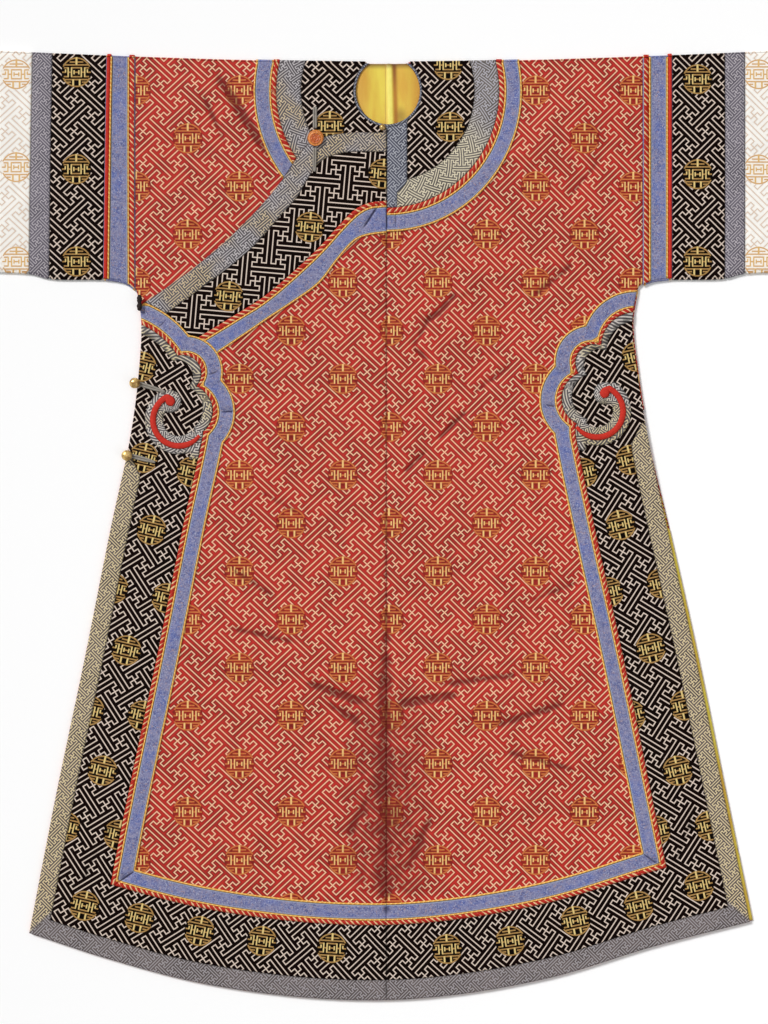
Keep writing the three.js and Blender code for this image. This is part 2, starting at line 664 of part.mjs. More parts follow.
function addButtons() {
  const turned = DISC.profile.map(([r, z]) => new THREE.Vector2(r * DISC.radius, z * DISC.height));
  const disc = new THREE.LatheGeometry(turned, 20).rotateX(Math.PI / 2);
  const discBase = LEVEL_SCROLL + highestUnder(DISC, DISC.radius * DISC.profile[1][0], true);
  addPiece('button_disc', 'carved', solidOf(disc.translate(DISC.x, DISC.y, discBase)));
  const ballBase = LEVEL_SCROLL + highestUnder(BALL, 1, false);
  const ball = new THREE.SphereGeometry(BALL.radius, 14, 8);
  addPiece('button_ball', 'brass', solidOf(ball.translate(BALL.x, BALL.y, ballBase + BALL.radius)));
  for (const button of SIDE_BUTTONS) {
    const shape = new THREE.SphereGeometry(button.radius, 16, 8).scale(1, 1, SIDE_BUTTON_FLATNESS);
    const base = LEVEL_CURL + highestUnder(button, button.radius / 2, true);
    const centre = base + button.radius * SIDE_BUTTON_FLATNESS;
    addPiece(button.name, 'brass', solidOf(shape.translate(button.x, button.y, centre)));
  }
  const knot = new THREE.SphereGeometry(1, 12, 8).scale(KNOT.width, KNOT.length, KNOT.height);
  const knotBase = LEVEL_SCROLL + highestUnder(KNOT, KNOT.width, true);
  addPiece('knot_armpit', 'dark', solidOf(knot.translate(KNOT.x, KNOT.y, knotBase + KNOT.height)));
}

addBody();
addSleeve('left');
addSleeve('right');
addCollar();
addOverlapTrim();
addBorder('left');
addBorder('right');
for (const loop of LOOPS) addPiece(loop.name, 'grey', wall(area(loop.points), LEVEL_SCROLL, TRIM, loop.lay));
addButtons();

export default robe;
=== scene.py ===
"""Looks of the lined robe: woven silk, ribbons, cords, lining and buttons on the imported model.

Sizes and places are in millimetres, X to the right, Y towards the neck, Z up, and become metres
where a mesh is made.  The cloth is one triangulated plan of the whole garment, which every piece
takes its own part of, so that neighbours meet along the same seam line.
"""
import math

import bpy
import numpy as np
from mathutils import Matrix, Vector, kdtree
from mathutils.geometry import delaunay_2d_cdt


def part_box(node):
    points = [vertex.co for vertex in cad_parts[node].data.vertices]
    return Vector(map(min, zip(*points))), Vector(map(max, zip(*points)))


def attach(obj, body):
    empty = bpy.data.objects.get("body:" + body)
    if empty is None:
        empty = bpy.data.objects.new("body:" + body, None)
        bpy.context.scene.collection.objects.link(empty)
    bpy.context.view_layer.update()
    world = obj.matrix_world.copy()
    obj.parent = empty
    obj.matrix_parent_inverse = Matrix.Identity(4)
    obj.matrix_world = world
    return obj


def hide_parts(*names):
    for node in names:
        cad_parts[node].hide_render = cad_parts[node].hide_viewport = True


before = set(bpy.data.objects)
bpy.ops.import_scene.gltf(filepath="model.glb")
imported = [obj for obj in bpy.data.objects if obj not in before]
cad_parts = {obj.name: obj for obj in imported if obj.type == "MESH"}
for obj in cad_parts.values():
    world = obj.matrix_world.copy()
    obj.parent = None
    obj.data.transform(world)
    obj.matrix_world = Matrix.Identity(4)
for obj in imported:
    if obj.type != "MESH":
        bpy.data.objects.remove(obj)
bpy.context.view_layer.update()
MM = 0.001

# ---------------------------------------------------------------- driving dimensions
HALF_SPAN = 586  # from the middle to the edge of the picture, which cuts the cuffs
WALL = 1.6  # thickness of the cloth, then of the rest
LINING = 1.0
TRIM = 1.0
CORD = 2.0
GAP = 0.3  # between pieces that lie on each other
SIGN = {"left": -1, "right": 1}  # of X on either side
LEVEL_LINING = WALL + GAP
LEVEL_FRONT = LEVEL_LINING + LINING + GAP
LEVEL_TRIM = LEVEL_FRONT + WALL + GAP
LEVEL_SCROLL = LEVEL_TRIM + TRIM + GAP
LEVEL_CURL = LEVEL_SCROLL + TRIM + GAP
FOLD_RADIUS = (LEVEL_FRONT + WALL) / 2
LAP = WALL + GAP
LAP_REACH = 190  # how far from its edge the overlap lies on the inner front
LAP_SLOPE = 80
LOFT = 2.5  # how high the cloth stands away from its edges, and from where on
LOFT_REACH = 130
WAVE_HEIGHT = 0.5  # of the faint waves all over
PITCH = 8.0  # of the plan's lattice
LATTICE_HALF = 720
LATTICE_CLEAR = 0.45  # of the pitch, kept clear beside seam lines
CORD_STEP = 2.5  # along a modelled cord
CORD_SIDES = 8
PLY = 0.13  # how deep the groove between a cord's two plies is, of its radius
LIP_SWEEP = 120  # degrees that a trim turns over the shoulder
NARROW = 10  # a strip under this width isn't passed to declare
EDGE_CORD = 1.25  # radius of the cords along a ribbon
EDGE_PITCH = 7.0
LINE_STEP = 6.0  # along seams
RIM = 2.2  # seams are rounded over this distance
ON_OUTLINE = 1.2  # what is nearer to the outline lies on it
ON_CENTRE = 0.5  # what is nearer to the middle lies on the centre seam
PAST_SLEEVE = (300, 760)  # Y below and above any sleeve
BEYOND = 800  # outside the garment

NECK = (2, 650)  # middle of the neck, a circle stretched along Y by NECK_TALL
NECK_RADIUS = 48
NECK_TALL = 1.05
SHOULDER_LOW = 691
SHOULDER_RISE = 17.9
SIDE_ROWS = (  # y, left, right, right edge of the back
    (352, -374, 375, 375),
    (305, -367, 368, 368),
    (225, -371, 376, 376),
    (135, -383, 391, 391),
    (0, -412, 419, 423),
    (-200, -452, 463, 468),
    (-400, -494, 504, 509),
)
SIDE_COLUMN = {"left": 1, "right": 2, "back": 3}
ARMPIT = {"left": (-376, 354), "right": (384, 363.5)}
CORNERS = {"left": (-535, -611), "right": (544, -594), "back": (549, -592.5)}
HEM = ((-422, -648), (-272, -687), (-92, -709.5), (60, -708), (240, -679), (400, -631))
SLEEVE = ((HALF_SPAN, 381), (533, 378), (505, 371), (422, 369), (390, 363), (374, 351))
SLEEVE_SEAMS = {  # x at the shoulder and at the underside
    "left": {"body": (-376, -376), "band": (-419, -425), "edging": (-500, -506), "cuff": (-530, -536)},
    "right": {"body": (384, 384), "band": (428, 428), "edging": (507, 507), "cuff": (537, 537)},
}
SEAM_SPAN = (330, 740)  # the y that those two x stand for
SLEEVE_CORDS = {"body": (1.5, 9), "band": (-6.5, -0.8)}  # twist and piping, outwards from those seams
OVERLAP = {
    "edge": ((0, 587), (-62, 586), (-97, 579), (-118, 568), (-130, 555), (-151, 523), (-190, 475),
             (-265, 403), (-344, 345), (-400, 308)),
    "band": ((0, 558), (-62, 557), (-92, 548), (-105, 537), (-120, 514), (-134, 490), (-151, 471),
             (-205, 411), (-280, 352), (-400, 268)),
    "ribbon": ((0, 478), (-25, 475), (-42, 466), (-65, 444), (-91, 415), (-115, 391), (-178, 336),
               (-220, 309), (-400, 201)),
    "field": ((0, 437), (-29, 433), (-46, 426), (-72, 398), (-100, 362), (-138, 334), (-176, 309),
              (-214, 283), (-400, 158)),
}
UNDERLAP = (50, -60)  # from the overlap's edge to that of the cloth under it
COLLAR = {  # outer radius of each ring
    "binding": 51.5, "band": 130, "edging": 167, "twist": 175, "ribbon": 201,
}
BINDING_LOW = 592
STRIP = ((0, 620), (31, 620), (31, 512), (16, 497), (16, 466), (0, 466))
HEADS = {  # of the border: lobes as x, y and radius, and where scroll and curl lie
    "left": {
        "lobes": ((-415, 191, 125.5), (-299.5, 229, 29), (-295.5, 169, 43)),
        "root": (-373, 195),
        "crown": (-373, 262),
        "foot": 116,
        "edging_top": 112,
        "scroll": (-310.5, 157),
        "tip": (-324, 185),
    },
    "right": {
        "lobes": ((373, 270, 55.5), (306, 244.5, 29.7), (298.3, 186.8, 44)),
        "root": (380, 215),
        "crown": (373, 262),
        "foot": 129,
        "edging_top": 160,
        "scroll": (315, 170),
        "tip": (327, 197),
    },
}
HEAD_REACH = 110
HEAD_OUT = 460
HEAD_JOIN = {"low": 100, "high": 150, "side": 140, "inset": 12}
BORDER_SIDE = 115  # widths of the border and its strips
BORDER_HEM = 120
RIBBON = 26
TWIST = 7
EDGING_SIDE = 28
EDGING_HEM = 30
EDGING_TAPER = 40
HEAD_EDGING = 13
SCROLL = {"inner": 24, "outer": 51, "tip": 17}
CURL = {"middle": 38.75, "half": 4.5, "tip": 7.4, "start": -143}
SCROLL_OPEN = (62, 220)
SCROLL_BELOW = 17  # the scroll dips this far below the foot of its head

# Soft folds and creases of the front: start, end, half width and height, negative for troughs.
FOLDS = (
    ((-300, 700), (-165, 525), 70, 3.0),
    ((-300, -105), (-20, -255), 80, 3.0),
    ((-55, 390), (175, 270), 75, 2.6),
    ((-10, -274), (330, -250), 80, 2.6),
    ((125, -458), (355, -300), 75, 2.2),
    ((160, 125), (280, 355), 75, 2.4),
    ((-290, -27), (-110, 187), 75, 1.8),
    ((148, 513), (332, 667), 75, 2.0),
    ((0, -660), (0, -300), 70, 2.0),
)
CREASES = (
    ((-262, 688), (-166, 537), 12, -2.8),
    ((-282, 660), (-236, 560), 9, -1.6),
    ((-230, 690), (-170, 620), 9, 1.8),
    ((-130, -232), (-22, -270), 9, -2.4),
    ((-150, -205), (-40, -246), 10, 1.8),
    ((-95, -262), (-35, -300), 8, -1.8),
    ((10, -268), (120, -252), 9, -2.4),
    ((70, -240), (215, -222), 10, -2.0),
    ((95, -216), (205, -196), 9, 1.5),
    ((150, -305), (280, -262), 10, -2.2),
    ((165, -335), (300, -372), 9, -1.8),
    ((60, 300), (112, 352), 9, -2.4),
    ((84, 322), (140, 372), 9, 1.6),
    ((36, 258), (70, 322), 8, -1.6),
    ((120, 190), (196, 246), 9, -1.6),
    ((205, 330), (292, 402), 10, -1.6),
    ((-240, -60), (-150, -118), 9, -1.6),
    ((-250, -150), (-120, -180), 9, -1.8),
    ((-205, 60), (-120, 10), 9, -1.2),
    ((200, -120), (300, -80), 9, -1.3),
    ((262, 480), (330, 560), 9, -1.3),
    ((150, 540), (230, 560), 9, 1.2),
    ((-320, 430), (-250, 500), 10, 1.2),
    ((-60, -470), (-20, -400), 9, -1.4),
    ((30, -520), (70, -430), 9, -1.2),
    ((-470, -560), (-400, -430), 10, -1.2),
    ((430, -520), (470, -400), 10, -1.2),
    ((40, 266), (65, 245), 6, -2.4),
    ((124, 174), (86, 138), 5, -2.4),
    ((104, 153), (73, 125), 5, -2.0),
    ((64, 114), (22, 75), 5, -2.4),
    ((-5, 489), (-37, 440), 2.4, -1.7),
    ((0.5, 490), (0.5, 436), 2, -1.2),
    ((14, 490), (14, 440), 2, -1.0),
    ((-249, 169), (-221, 170), 2, -1.6),
    ((-346, 292), (-330, 306), 2, -1.4),
    ((-268, 224), (-250, 230), 2, -1.2),
    ((-196, -470), (-170, -490), 4, -1.2),
    ((236, 180), (258, 176), 2, -1.4),
    ((-536, -612), (-508, -588), 1.8, -2.0),
    ((545, -595), (518, -572), 1.8, -2.0),
    ((-410, -541), (-374, -516), 1.8, -2.0),
    ((419, -517), (381, -490), 1.8, -2.0),
)
CREASE_DEPTH = 1.5  # the heights above are scaled by this
# Troughs are also painted darker, as painted shade, by shade().
CREASE_DARK = 2.15  # a trough of this height is as dark as can be
SKIRT_DARK = {"top": 60, "over": 300, "border": 568, "wide": 140, "line_x": -4, "line": 12}
CENTRE_PUCKERS = {"spacing": 31, "half_width": 14, "depth": 1.6, "top": 430}


# ---------------------------------------------------------------- outlines
def smooth(value):
    t = np.clip(value, 0, 1)
    return t * t * (3 - 2 * t)


def rows_of(u, v, w=0.0):
    """Rows of three for an attribute."""
    return np.column_stack([u, v, w + 0.0 * u])


def shoulder_y(x):
    return SHOULDER_LOW + SHOULDER_RISE * (np.abs(x) / HALF_SPAN) ** 1.6


def curve_through(rows, parts=10):
    """Centripetal Catmull-Rom curve through rows of (x, y)."""
    points = [np.array(row[:2], float) for row in rows]
    points = [2 * points[0] - points[1], *points, 2 * points[-1] - points[-2]]
    out = []
    for four in zip(points, points[1:], points[2:], points[3:]):
        steps = [math.sqrt(np.linalg.norm(b - a)) for a, b in zip(four, four[1:])]
        knots = np.concatenate([[0.0], np.cumsum(steps)])
        t1, t2 = knots[1:3]
        for t in np.linspace(t1, t2, parts, endpoint=False):
            row = four
            for span in (1, 2):
                row = [
                    (high - t) / (high - low) * a + (t - low) / (high - low) * b
                    for low, high, a, b in zip(knots, knots[span:], row, row[1:])
                ]
            out.append((t2 - t) / (t2 - t1) * row[0] + (t - t1) / (t2 - t1) * row[1])
    return np.array([*out, points[-2]])


def shoulder_line(start, end, steps=60):
    x = np.linspace(start, end, steps + 1)
    return np.column_stack([x, shoulder_y(x)])


def side_line(column):
    rows = [(row[SIDE_COLUMN[column]], row[0]) for row in SIDE_ROWS]
    return curve_through([*rows, CORNERS[column]])


HEM_LINE = curve_through([CORNERS["left"], *HEM, CORNERS["right"]])
SLEEVE_LINE = curve_through(SLEEVE)
OVERLAP_LINES = {name: np.array(rows, float) for name, rows in OVERLAP.items()}
OVERLAP_LINES["twist"] = np.array(
    [(x - (TWIST / 2 if i > 1 else 0), y + TWIST) for i, (x, y) in enumerate(OVERLAP["ribbon"])])


def rounded(line, parts=6):
    return curve_through(line, parts)


def offset_line(line, distance):
    """The line moved to its left by a distance."""
    step = np.gradient(line, axis=0)
    normal = np.column_stack([-step[:, 1], step[:, 0]])
    return line + distance * normal / np.maximum(np.linalg.norm(normal, axis=1), 1e-6)[:, None]


def normals_of(line):
    step = np.gradient(line, axis=0)
    return np.column_stack([-step[:, 1], step[:, 0]]) / np.linalg.norm(step, axis=1)[:, None]


def resampled(line, step):
    length = np.concatenate([[0], np.cumsum(np.linalg.norm(np.diff(line, axis=0), axis=1))])
    count = max(2, int(round(length[-1] / step)) + 1)
    at = np.linspace(0, length[-1], count)
    return np.column_stack([np.interp(at, length, line[:, 0]), np.interp(at, length, line[:, 1])])


def closed(shape):
    return np.array([*shape, shape[0]], float)


def circle(x, y, radius, tall=1.0, sides=72):
    angle = np.linspace(0, 2 * math.pi, sides + 1)
    return np.column_stack([x + radius * np.cos(angle), y + radius * tall * np.sin(angle)])


# ---------------------------------------------------------------- regions, as tests on points
def inside(points, polygon):
    x, y = points[:, 0], points[:, 1]
    odd = np.zeros(len(points), bool)
    a = np.asarray(polygon, float)
    b = np.roll(a, 1, axis=0)
    for (ax, ay), (bx, by) in zip(a, b):
        if ay == by:
            continue
        crosses = (ay > y) != (by > y)
        odd ^= crosses & (x < (bx - ax) * (y - ay) / (by - ay) + ax)
    return odd


def on_side(points, side):
    return SIGN[side] * points[:, 0] > 0


def ring_radius(points):
    return np.hypot(points[:, 0] - NECK[0], (points[:, 1] - NECK[1]) / NECK_TALL)


def body_outline(right_column):
    return np.concatenate([
        shoulder_line(SLEEVE_SEAMS["left"]["body"][0], SLEEVE_SEAMS["right"]["body"][0]),
        [ARMPIT["right"]],
        side_line(right_column),
        HEM_LINE[1:-1][::-1],
        side_line("left")[::-1],
        [ARMPIT["left"]],
    ])


def below(points, line):
    line = rounded(OVERLAP_LINES[line]) if isinstance(line, str) else line
    low = (-BEYOND, line[-1][1] - 200)
    polygon = [*line, low, (-BEYOND, -BEYOND), (BEYOND, -BEYOND), (BEYOND, line[0][1])]
    return inside(points, polygon) & (points[:, 0] < 0)


def hem_polygon(height):
    line = HEM_LINE + np.array([0, height])
    first, last = line[0] + np.array([-90, 28]), line[-1] + np.array([90, 22])
    return [first, *line, last, (BEYOND, -BEYOND), (-BEYOND, -BEYOND)]


def border_shapes(side, grow):
    """Outlines whose union is the border of one side, its inner boundary moved by grow."""
    sign = SIGN[side]
    head = HEADS[side]
    (root_x, root_y), crown = head["root"], head["crown"]
    scale = 1 + min(grow, 0) / HEAD_REACH
    lobes = [
        (root_x + (x - root_x) * scale, root_y + (y - root_y) * scale, radius * scale + max(grow, 0))
        for x, y, radius in head["lobes"]
    ]
    line = side_line(side)
    line = line[line[:, 1] < HEAD_JOIN["side"]]
    inner = line - np.array([sign * (BORDER_SIDE + grow), 0])
    inner_x, inner_y = inner[0]
    filler = [
        lobes[2][:2],
        lobes[1][:2],
        crown,
        (sign * HEAD_OUT, crown[1]),
        (sign * HEAD_OUT, HEAD_JOIN["low"]),
        (inner_x + sign * HEAD_JOIN["inset"], HEAD_JOIN["low"]),
        (inner_x, inner_y + HEAD_JOIN["inset"]),
    ]
    strip = [(inner_x, HEAD_JOIN["high"]), *inner, (inner[-1][0], -BEYOND), (sign * BEYOND, -BEYOND),
             (sign * BEYOND, HEAD_JOIN["high"])]
    return [circle(*lobe) for lobe in lobes] + [filler, strip, hem_polygon(BORDER_HEM + grow)]


def border(points, side, grow):
    found = np.zeros(len(points), bool)
    for shape in border_shapes(side, grow):
        found |= inside(points, shape)
    return found & on_side(points, side)


def edging_shapes(side, grow=0.0):
    sign = SIGN[side]
    top = HEADS[side]["edging_top"]
    line = resampled(side_line(side), 10)
    line = line[line[:, 1] < top]
    width = grow + EDGING_SIDE * np.clip((top - line[:, 1]) / EDGING_TAPER, 0.1, 1)
    strip = np.column_stack([line[:, 0] - sign * width, line[:, 1]])
    outer = [(strip[-1][0], -BEYOND), (sign * BEYOND, -BEYOND), (sign * BEYOND, strip[0][1])]
    return [[*strip, *outer], hem_polygon(EDGING_HEM + grow)]


def edging(points, side):
    a, b = edging_shapes(side)
    return (inside(points, a) | inside(points, b)) & on_side(points, side)


def open_ring(points, side):
    """The grey scroll in the foot of a head: a ring open towards the outside, with a round tip."""
    (x, y), (tip_x, tip_y) = HEADS[side]["scroll"], HEADS[side]["tip"]
    dx, dy = SIGN[side] * (points[:, 0] - x), points[:, 1] - y
    radius = np.hypot(dx, dy)
    angle = np.degrees(np.arctan2(dy, dx)) % 360
    arc = (radius < SCROLL["outer"]) & (radius > SCROLL["inner"])
    arc &= ~((angle > SCROLL_OPEN[0]) & (angle < SCROLL_OPEN[1]))
    return arc | (np.hypot(points[:, 0] - tip_x, points[:, 1] - tip_y) < SCROLL["tip"])


# ---------------------------------------------------------------- the plan, one triangulation
def sleeve_seam(side, name, shift=0.0):
    top, low = SLEEVE_SEAMS[side][name]
    return np.array([(top + shift, SEAM_SPAN[1]), (low + shift, SEAM_SPAN[0])], float)


def plan_lines():
    lines = []

    def both_rims(line, reaches=(RIM, -RIM)):
        lines.append(line)
        lines.extend(offset_line(resampled(line, LINE_STEP), reach) for reach in reaches)

    shoulder = shoulder_line(-HALF_SPAN, HALF_SPAN, 160)
    both_rims(shoulder, (-RIM,))
    for sign in (1, -1):
        both_rims(SLEEVE_LINE * np.array([sign, 1]), (-RIM * sign,))
        for x in (HALF_SPAN, HALF_SPAN - RIM):
            lines.append(np.array([(sign * x, y) for y in PAST_SLEEVE], float))
    both_rims(side_line("left"), (RIM,))
    both_rims(side_line("right"), (-RIM,))
    lines.append(side_line("back"))
    both_rims(HEM_LINE, (RIM,))
    lines.append(np.array([CORNERS["right"], CORNERS["back"]], float))
    both_rims(np.array([(0, PAST_SLEEVE[1]), (0, -PAST_SLEEVE[1])], float))
    for side in SIGN:
        for name in SLEEVE_SEAMS[side]:
            both_rims(sleeve_seam(side, name))
        for name, reaches in SLEEVE_CORDS.items():
            lines.extend(sleeve_seam(side, name, SIGN[side] * reach) for reach in reaches)
    for radius in (NECK_RADIUS, *COLLAR.values()):
        for reach in (0, RIM, -RIM):
            lines.append(circle(*NECK, radius + reach, NECK_TALL))
    both_rims(np.array(STRIP, float))
    for line in OVERLAP_LINES.values():
        both_rims(rounded(line))
    lines.append(rounded(OVERLAP_LINES["edge"] + np.array(UNDERLAP)))
    for side in SIGN:
        for grow in (RIBBON, 0, -TWIST):
            for reach in (RIM, 0, -RIM):
                lines.extend(closed(shape) for shape in border_shapes(side, grow + reach))
        lines.extend(closed(shape) for shape in border_shapes(side, -TWIST - HEAD_EDGING)[:4])
        for grow in (0, RIM, -RIM):
            for shape in edging_shapes(side, grow):
                lines.append(np.array(shape, float))
        x, y = HEADS[side]["scroll"]
        tip = HEADS[side]["tip"]
        for radius in (SCROLL["inner"], SCROLL["outer"]):
            lines.append(circle(x, y, radius))
        lines.append(circle(*tip, SCROLL["tip"], sides=36))
        for angle in SCROLL_OPEN:
            turn = math.radians(angle if side == "right" else 180 - angle)
            ray = np.array([math.cos(turn), math.sin(turn)])
            lines.append(np.array([np.array([x, y]) + SCROLL[reach] * ray for reach in ("inner", "outer")]))
    for start, end, width, _ in CREASES:
        axis = np.array([start, end], float)
        for reach in (-width, -width / 2, 0, width / 2, width):
            lines.append(offset_line(axis, reach))
    return lines


OUTLINE = np.concatenate([
    shoulder_line(-HALF_SPAN, HALF_SPAN, 100),
    SLEEVE_LINE,
    side_line("right"),
    HEM_LINE[1:-1][::-1],
    side_line("left")[::-1],
    (SLEEVE_LINE * (-1, 1))[::-1],
])
BACK_OUTLINE = body_outline("back")


def clip_to_garment(line):
    """Stretches of a line that lie in the garment or within a few millimetres of it."""
    line = resampled(line, LINE_STEP)
    near = inside(line, OUTLINE) | inside(line, BACK_OUTLINE) | (distance_to(line, OUTLINE_SAMPLES) < 7)
    stretches, run = [], []
    for point, keep in zip([*line, None], [*near, False]):
        if keep:
            run.append(point)
            continue
        if len(run) > 1:
            stretches.append(np.array(run))
        run = []
    return stretches


def tree_of(points):
    tree = kdtree.KDTree(len(points))
    for i, (x, y) in enumerate(points):
        tree.insert((x, y, 0), i)
    tree.balance()
    return tree


def distance_to(points, tree):
    return np.array([tree.find((x, y, 0))[2] for x, y in points])


OUTLINE_SAMPLES = tree_of(np.concatenate([resampled(OUTLINE, 2), resampled(BACK_OUTLINE, 2)]))


def triangulate():
    stretches = [run for line in plan_lines() for run in clip_to_garment(np.asarray(line, float))]
    seams = tree_of(np.concatenate([resampled(run, 2) for run in stretches]))
    rows = np.arange(-LATTICE_HALF, LATTICE_HALF, PITCH * math.sqrt(3) / 2)
    lattice = np.array([
        (x + (PITCH / 2 if j % 2 else 0), y)
        for j, y in enumerate(rows)
        for x in np.arange(-HALF_SPAN, HALF_SPAN, PITCH)
    ])
    lattice = lattice[inside(lattice, OUTLINE) | inside(lattice, BACK_OUTLINE)]
    lattice = lattice[distance_to(lattice, seams) > LATTICE_CLEAR * PITCH]
    points = [Vector(p) for p in lattice]
    edges = []
    for run in stretches:
        first = len(points)
        points.extend(Vector(p) for p in run)
        edges.extend((first + i, first + i + 1) for i in range(len(run) - 1))
    verts, _, faces, *_ = delaunay_2d_cdt(points, edges, [], 0, 0.02)
    return np.array([tuple(v) for v in verts]), np.array([tuple(f) for f in faces])


PLAN, TRIANGLES = triangulate()
CENTRES = PLAN[TRIANGLES].mean(axis=1)


# ---------------------------------------------------------------- the lie of the cloth
def along_across(points, start, end):
    start, end = np.array(start, float), np.array(end, float)
    axis = (end - start) / np.linalg.norm(end - start)
    offset = points - start
    along = offset @ axis / np.linalg.norm(end - start)
    return along, offset @ np.array([-axis[1], axis[0]])


def crease_height(points, start, end, width, height):
    along, across = along_across(points, start, end)
    length = smooth(4 * along) * smooth(4 * (1 - along))
    return height * smooth(1 - np.abs(across) / width) * length


def lie(points):
    reach = distance_to(points, OUTLINE_SAMPLES)
    calm = smooth(reach / (LOFT_REACH / 2))
    height = LOFT * smooth(reach / LOFT_REACH)
    for fold in FOLDS:
        height += crease_height(points, *fold) * calm
    for crease in CREASES:
        height += CREASE_DEPTH * crease_height(points, *crease) * smooth(reach / 20)
    x, y = points[:, 0], points[:, 1]
    waves = np.sin(x / 37 + np.sin(y / 51)) * np.sin(y / 43 + 1.3 * np.sin(x / 61))
    height += WAVE_HEIGHT * waves * calm
    height -= CENTRE_PUCKERS["depth"] * puckers(points)
    return np.maximum(height, 0)


def puckers(points):
    """How deep the cloth is drawn in at the centre seam, from 0 to 1."""
    x, y = points[:, 0], points[:, 1]
    near_seam = smooth(1 - np.abs(x) / CENTRE_PUCKERS["half_width"])
    ripple = 0.6 + 0.4 * np.sin(y / CENTRE_PUCKERS["spacing"] * 2 * math.pi + 2.2 * np.sin(y / 83))
    return near_seam * ripple * (y < CENTRE_PUCKERS["top"])


def shade(points):
    """How dark the cloth is made, from 0 to 1: painted shade in the puckers of its centre seam and in its
    creases' troughs, less of it on their ridges as painted light, and darker over the middle of the skirt and
    along its centre seam.
    """
    x, y = points[:, 0], points[:, 1]
    # Painted shade in the puckers of the centre seam.
    found = (0.75 - 0.25 * np.sign(y)) * 0.7 * puckers(points) ** 2
    skirt = SKIRT_DARK
    low = smooth((-y - skirt["top"]) / skirt["over"]) * smooth((y + skirt["border"]) / 25)
    found += low * 0.6 * smooth(1 - np.abs(x) / skirt["wide"])
    found += low * 0.5 * smooth(1 - np.abs(x - skirt["line_x"]) / skirt["line"])
    # Painted shade in the creases' troughs, and a little painted light on their ridges.
    for start, end, width, height in CREASES:
        if height < 0:
            found += crease_height(points, start, end, width, -height / CREASE_DARK)
        else:
            found -= crease_height(points, start, end, width, 0.2)
    return np.clip(found, 0, 1)


OVERLAP_EDGE = tree_of(resampled(rounded(OVERLAP_LINES["edge"]), 1.5))


def lap(points):
    return LAP * smooth((LAP_REACH - distance_to(points, OVERLAP_EDGE)) / LAP_SLOPE)


LIE = lie(PLAN)
SHADE = shade(PLAN)
LAPPED = LIE + lap(PLAN)

# ---------------------------------------------------------------- pieces of the plan
IN_FRONT = inside(CENTRES, body_outline("right"))
IN_BACK = inside(CENTRES, BACK_OUTLINE)
LEFT = CENTRES[:, 0] < 0
RADIUS = ring_radius(CENTRES)
IN_HOLE = RADIUS < NECK_RADIUS
OVER = IN_FRONT & below(CENTRES, "edge")
UNDER_LINE = rounded(OVERLAP_LINES["edge"] + np.array(UNDERLAP))
UNDER = IN_FRONT & LEFT & ~IN_HOLE & ~below(CENTRES, UNDER_LINE)
RIGHT_FRONT = IN_FRONT & ~LEFT & ~IN_HOLE
ABOVE = IN_FRONT & LEFT & ~OVER
IN_STRIP = inside(CENTRES, STRIP)


def vertex_edges(triangles):
    """Edges that belong to one triangle only, in that triangle's direction."""
    edges = np.concatenate([triangles[:, [0, 1]], triangles[:, [1, 2]], triangles[:, [2, 0]]])
    key = np.sort(edges, axis=1)
    _, index, count = np.unique(key, axis=0, return_index=True, return_counts=True)
    return edges[index[count == 1]]


def turn_of(triangles):
    """Twice the area of each, negative where its corners run clockwise."""
    a, b, c = (PLAN[triangles[:, i]] for i in range(3))
    return (b - a)[:, 0] * (c - a)[:, 1] - (b - a)[:, 1] * (c - a)[:, 0]


CLOCKWISE = turn_of(TRIANGLES) < 0
TRIANGLES[CLOCKWISE] = TRIANGLES[CLOCKWISE][:, ::-1]


def edge_distance(used, rim_edges):
    a, b = PLAN[rim_edges[:, 0]], PLAN[rim_edges[:, 1]]
    samples = np.concatenate([a + (b - a) * t for t in (0, 0.25, 0.5, 0.75)])
    return distance_to(PLAN[used], tree_of(samples))


def middles(edges):
    return (PLAN[edges[:, 0]] + PLAN[edges[:, 1]]) / 2


def is_sewn(middle, tucked):
    """Whether an edge is sewn down: not where it lies on the outline or is tucked under another piece."""
    sewn = distance_to(middle, OUTLINE_SAMPLES) > ON_OUTLINE
    return sewn if tucked is None else sewn & (distance_to(middle, tucked) > ON_OUTLINE)


def sheet_mesh(mask, base, height, thickness, pattern, roll=0.5, shows=None, tucked=None):
    """Closed shell over some of the plan's triangles: vertices, faces and attribute rows.

    Its seams are the edges of what shows, where cords cover the rest."""
    triangles = TRIANGLES[mask]
    used, local = np.unique(triangles, return_inverse=True)
    local = local.reshape(triangles.shape)
    rim = vertex_edges(triangles)
    to_local = {v: i for i, v in enumerate(used)}
    distance = edge_distance(used, rim)
    seams = rim if shows is None else vertex_edges(TRIANGLES[shows])
    middle = middles(seams)
    edge = np.abs(middle[:, 0]) > ON_CENTRE if "strip" in pattern else True
    sewn = seams[is_sewn(middle, tucked) & edge]
    from_seam = edge_distance(used, sewn) if len(sewn) else distance + BEYOND
    z = base + height[used]
    top = z + thickness - roll * thickness * (1 - smooth(distance / RIM))
    verts = np.concatenate([
        np.column_stack([PLAN[used], top]),
        np.column_stack([PLAN[used], z]),
    ])
    count = len(used)
    faces = local.tolist() + (local[:, ::-1] + count).tolist()
    for a, b in rim:
        i, j = to_local[a], to_local[b]
        faces.append([i, i + count, j + count, j])
    rows = {key: np.tile(values(PLAN[used]), (2, 1)) for key, values in pattern.items()}
    # Painted shade of the creases and puckers, only where the piece follows the cloth's lie.
    crease = SHADE[used] * (height is not FLAT)
    rows["seam"] = np.tile(rows_of(from_seam, crease), (2, 1))
    return verts, faces, rows


def joined_meshes(parts):
    verts, faces, rows = [], [], {}
    first = 0
    for part_verts, part_faces, part_rows in parts:
        verts.append(part_verts)
        faces.extend([[i + first for i in face] for face in part_faces])
        for key, values in part_rows.items():
            rows.setdefault(key, []).append(values)
        first += len(part_verts)
    return np.concatenate(verts), faces, {key: np.concatenate(values) for key, values in rows.items()}


